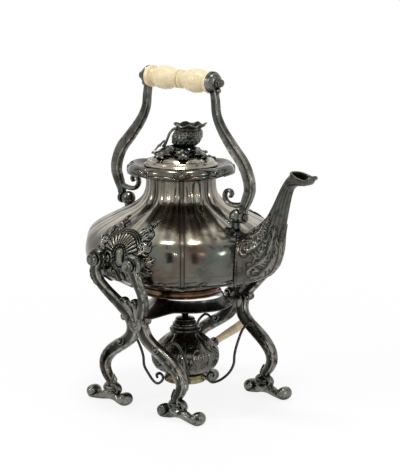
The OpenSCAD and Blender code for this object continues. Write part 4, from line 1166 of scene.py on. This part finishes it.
def bracketPiece(name, sx, sy):
    p = bracketShape
    x = standX + sx * p["x"]
    reach = np.array([x - burnerX, sy * p["y"]])
    far = np.linalg.norm(reach)
    d = reach / far
    hug = p["burnerFoot"] + p["wire"] / 2 + 0.3
    drop = [(frameY(70) - 1, 72), (67, 79.5), (60, 81), (51, 75.5), (43, 62), (38.5, 50)]
    hook = [(far, 18), (far - 5, 8), (mix(hug, far, 0.52), 0), (hug + 6, -3.4),
            (hug + 1.2, -0.6), (hug, 4), (hug + 3.2, 8.2), (hug + 7, 7), (hug + 6.6, 3.8)]
    rows = [(x, sy * y, z, p["wire"], p["wire"]) for y, z in drop]
    rows += [(burnerX + d[0] * out, d[1] * out, p["footZ"] + z, p["wire"],
              p["wire"] + max(0, i - 3) * 1.3) for i, (out, z) in enumerate(hook)]
    return barPiece(name, rows, (-d[1] * sx * sy, d[0] * sx * sy, 0), 18)


for name, sx, sy in corners:
    finishPiece(bracketPiece(name + "_wire", sx, sy), "stand", "dark_silver",
                "blackenedSilverPlate", name + "_bracket")
print("brackets made")


# Burner

burnerShape = {"radius": 38.6, "z": 50, "baseZ": 31.2, "topZ": 78, "seam": 2.2, "wall": 1.6}
burnerLow = [(0.56, 0, 0.3), (0.78, 0.18, 0.8), (0.94, 0.52, 1), (1, 1, 1)]
burnerHigh = [(0.95, 0.27, 1), (0.74, 0.58, 1), (0.52, 0.84, 0.6), (0.41, 1, 0)]


def burnerPiece():
    b = burnerShape
    rows = [(s[0] * b["radius"], mix(b["baseZ"], b["z"], s[1]), s[2]) for s in burnerLow]
    rows += [(s[0] * b["radius"], mix(b["z"], b["topZ"], s[1]), s[2]) for s in burnerHigh]
    rows = smoothRows(rows, 9)
    angles = lobeAngles(44)
    u = ((angles % (math.pi / 4)) - math.pi / 8)[None] * rows[:, 0:1]
    # An oval round a blossom on each lobe, with leaves and scrolls above and below
    oval = [(6.4 * math.cos(a), 8 * math.sin(a)) for a in np.linspace(0, fullTurn, 25)]
    scrolls = [(s * x, y, radius, 90, s * 1.1, 0.8, 0.8) for s in (-1, 1)
               for x, y, radius in ((7.6, -11, 3.2), (6, 12, 2.6))]
    leaves = [(0, 9, 90, 9, 0, 2.6, 0.9, 3), (0, -9, -90, 9, 0, 2.6, 0.9, 3)]
    strokes = [(oval, (0.9, 0.9), 1)] + strokesOf(scrolls, leaves, [(0, 0, 4.6, 5, 1)])
    height, gap = chased(u, rows[:, 1:2] - 55 + 0 * u, strokes)
    dark = np.clip(np.clip(1 - gap / 1.2, 0, 1) * (1 - height / 0.7), 0, 0.9)
    hollow = b["seam"] * (1 - lobeShare(angles))
    outer = [ringPoints(burnerX, 0, r - d * hollow + height[i] * 0.9, angles, z)
             for i, (r, z, d) in enumerate(rows)]
    inner = [lobedRing(r - b["wall"], max(z, b["baseZ"] + 1.2), d * b["seam"], 0, angles, x=burnerX)
             for r, z, d in rows[::-5]]
    return skinPiece("lobed_burner", outer + inner, angle=60,
                     dark=list(dark) + [dark[0] * 0] * len(inner))


finishPiece(burnerPiece(), "lamp", "old_silver", "polishedSilverPlate", "lamp_body")
print("burner made")


# Bail handle arms

armShape = {"lugX": 83.6, "lugZ": 217.6, "gripZ": 360, "capX": 46.8, "out": 102.5, "eyeX": 91.8}
upperArm = [
    (0, 0.985, 7, 8), (0, 0.93, 7.5, 8), (0.03, 0.85, 8, 8), (0.07, 0.75, 8.5, 8),
    (0.24, 0.64, 9.6, 8.5), (0.53, 0.52, 11.2, 9), (0.82, 0.41, 12, 9), (0.97, 0.305, 12, 9)]
lowerArm = [
    (1.03, 0.215, 0, 11.2, 9), (0.59, 0.14, 0, 10.5, 8.5), (0.1, 0, 10.7, 8.5, 8), (0.05, 0, 5.4, 8, 7)]
curlRows = [
    (9, 14), (0.5, 12.4), (-8, 12.4), (-14, 15), (-17, 20.5), (-15, 26), (-9.5, 27.5), (-6.5, 24),
    (-8.5, 20.6)]
knobRows = [(1.6, -2), (1.6, 1.4), (2.6, 2.2), (2.9, 3.4), (2.5, 4.8), (1.4, 5.6), (0, 5.8)]
eyeDiscRows = [(2.05, 0), (6, 0), (6.5, 0.6), (6.5, 3.4), (6, 4), (2.05, 4)]
capRows = [
    (2.55, 0), (11.4, 0), (12, 1), (11.8, 2.6), (10.6, 3.4), (10.4, 5), (9, 6.8), (6.8, 8.2), (4, 8.9),
    (2.55, 9.1)]


def armPiece():
    p = armShape
    rows = [(mix(p["capX"] + 4, p["out"], out), 0, mix(p["lugZ"], p["gripZ"], up), wide, thick)
            for out, up, wide, thick in upperArm]
    rows += [(mix(p["eyeX"] + 2, p["out"], out), 0, mix(p["lugZ"], p["gripZ"], up) + rise, wide, thick)
             for out, up, rise, wide, thick in lowerArm]
    curl = [(p["lugX"] + x, 0, p["lugZ"] + z, mix(6.2, 3.4, i / 8), 6.8)
            for i, (x, z) in enumerate(curlRows)]
    parts = [barPiece("arm_bar", rows, sides=36, section=channelSection, steps=7, sunk=0.45),
             barPiece("arm_curl", curl, sides=20, steps=5)]
    for name, turned, x, z, sides in (("end_knob", knobRows, 53.5, 351.5, 24),
                                      ("eye_disc", eyeDiscRows, p["eyeX"], p["lugZ"], 40),
                                      ("grip_cap", capRows, p["capX"], p["gripZ"], 56)):
        parts.append(turnedPiece(name, turned, (x, 0, z), (1, 0, 0), sides))
    return joinPieces("arm", parts)


arm = armPiece()
for name, sign in (("front", 1), ("rear", -1)):
    made = copyPiece(arm, name + "_scroll_arm", (sign, 1, 1), (kettleX, 0, 0))
    finishPiece(made, "bail", "dark_silver", "castSilverPlate", name + "_arm")
bpy.data.objects.remove(arm)
print("arms made")


# Finishes of the CAD pieces that stay

kept = {
    "polishedSilverPlate": ["strainer", "lid_hinge_pin", "finial_nut", "lug_pins", "end_nuts",
                            "apron_screws", "wick_holder"],
    "castSilverPlate": ["trunnions", "rest_studs", "handle_lugs", "near_pivot_pin", "far_pivot_pin",
                        "tie_rod", "lamp_socket"],
    "blackenedSilverPlate": ["lamp_collar", "snuffer_cap"],
    "giltPlate": ["lamp_foot"],
    "turnedCreamResin": ["grip", "lamp_handle"],
    "plaitedCotton": ["wick"],
}
for finish, names in kept.items():
    for name in names:
        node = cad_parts[name]
        node.data.materials.clear()
        node.data.materials.append(finishes[finish])
print("carried pieces finished")
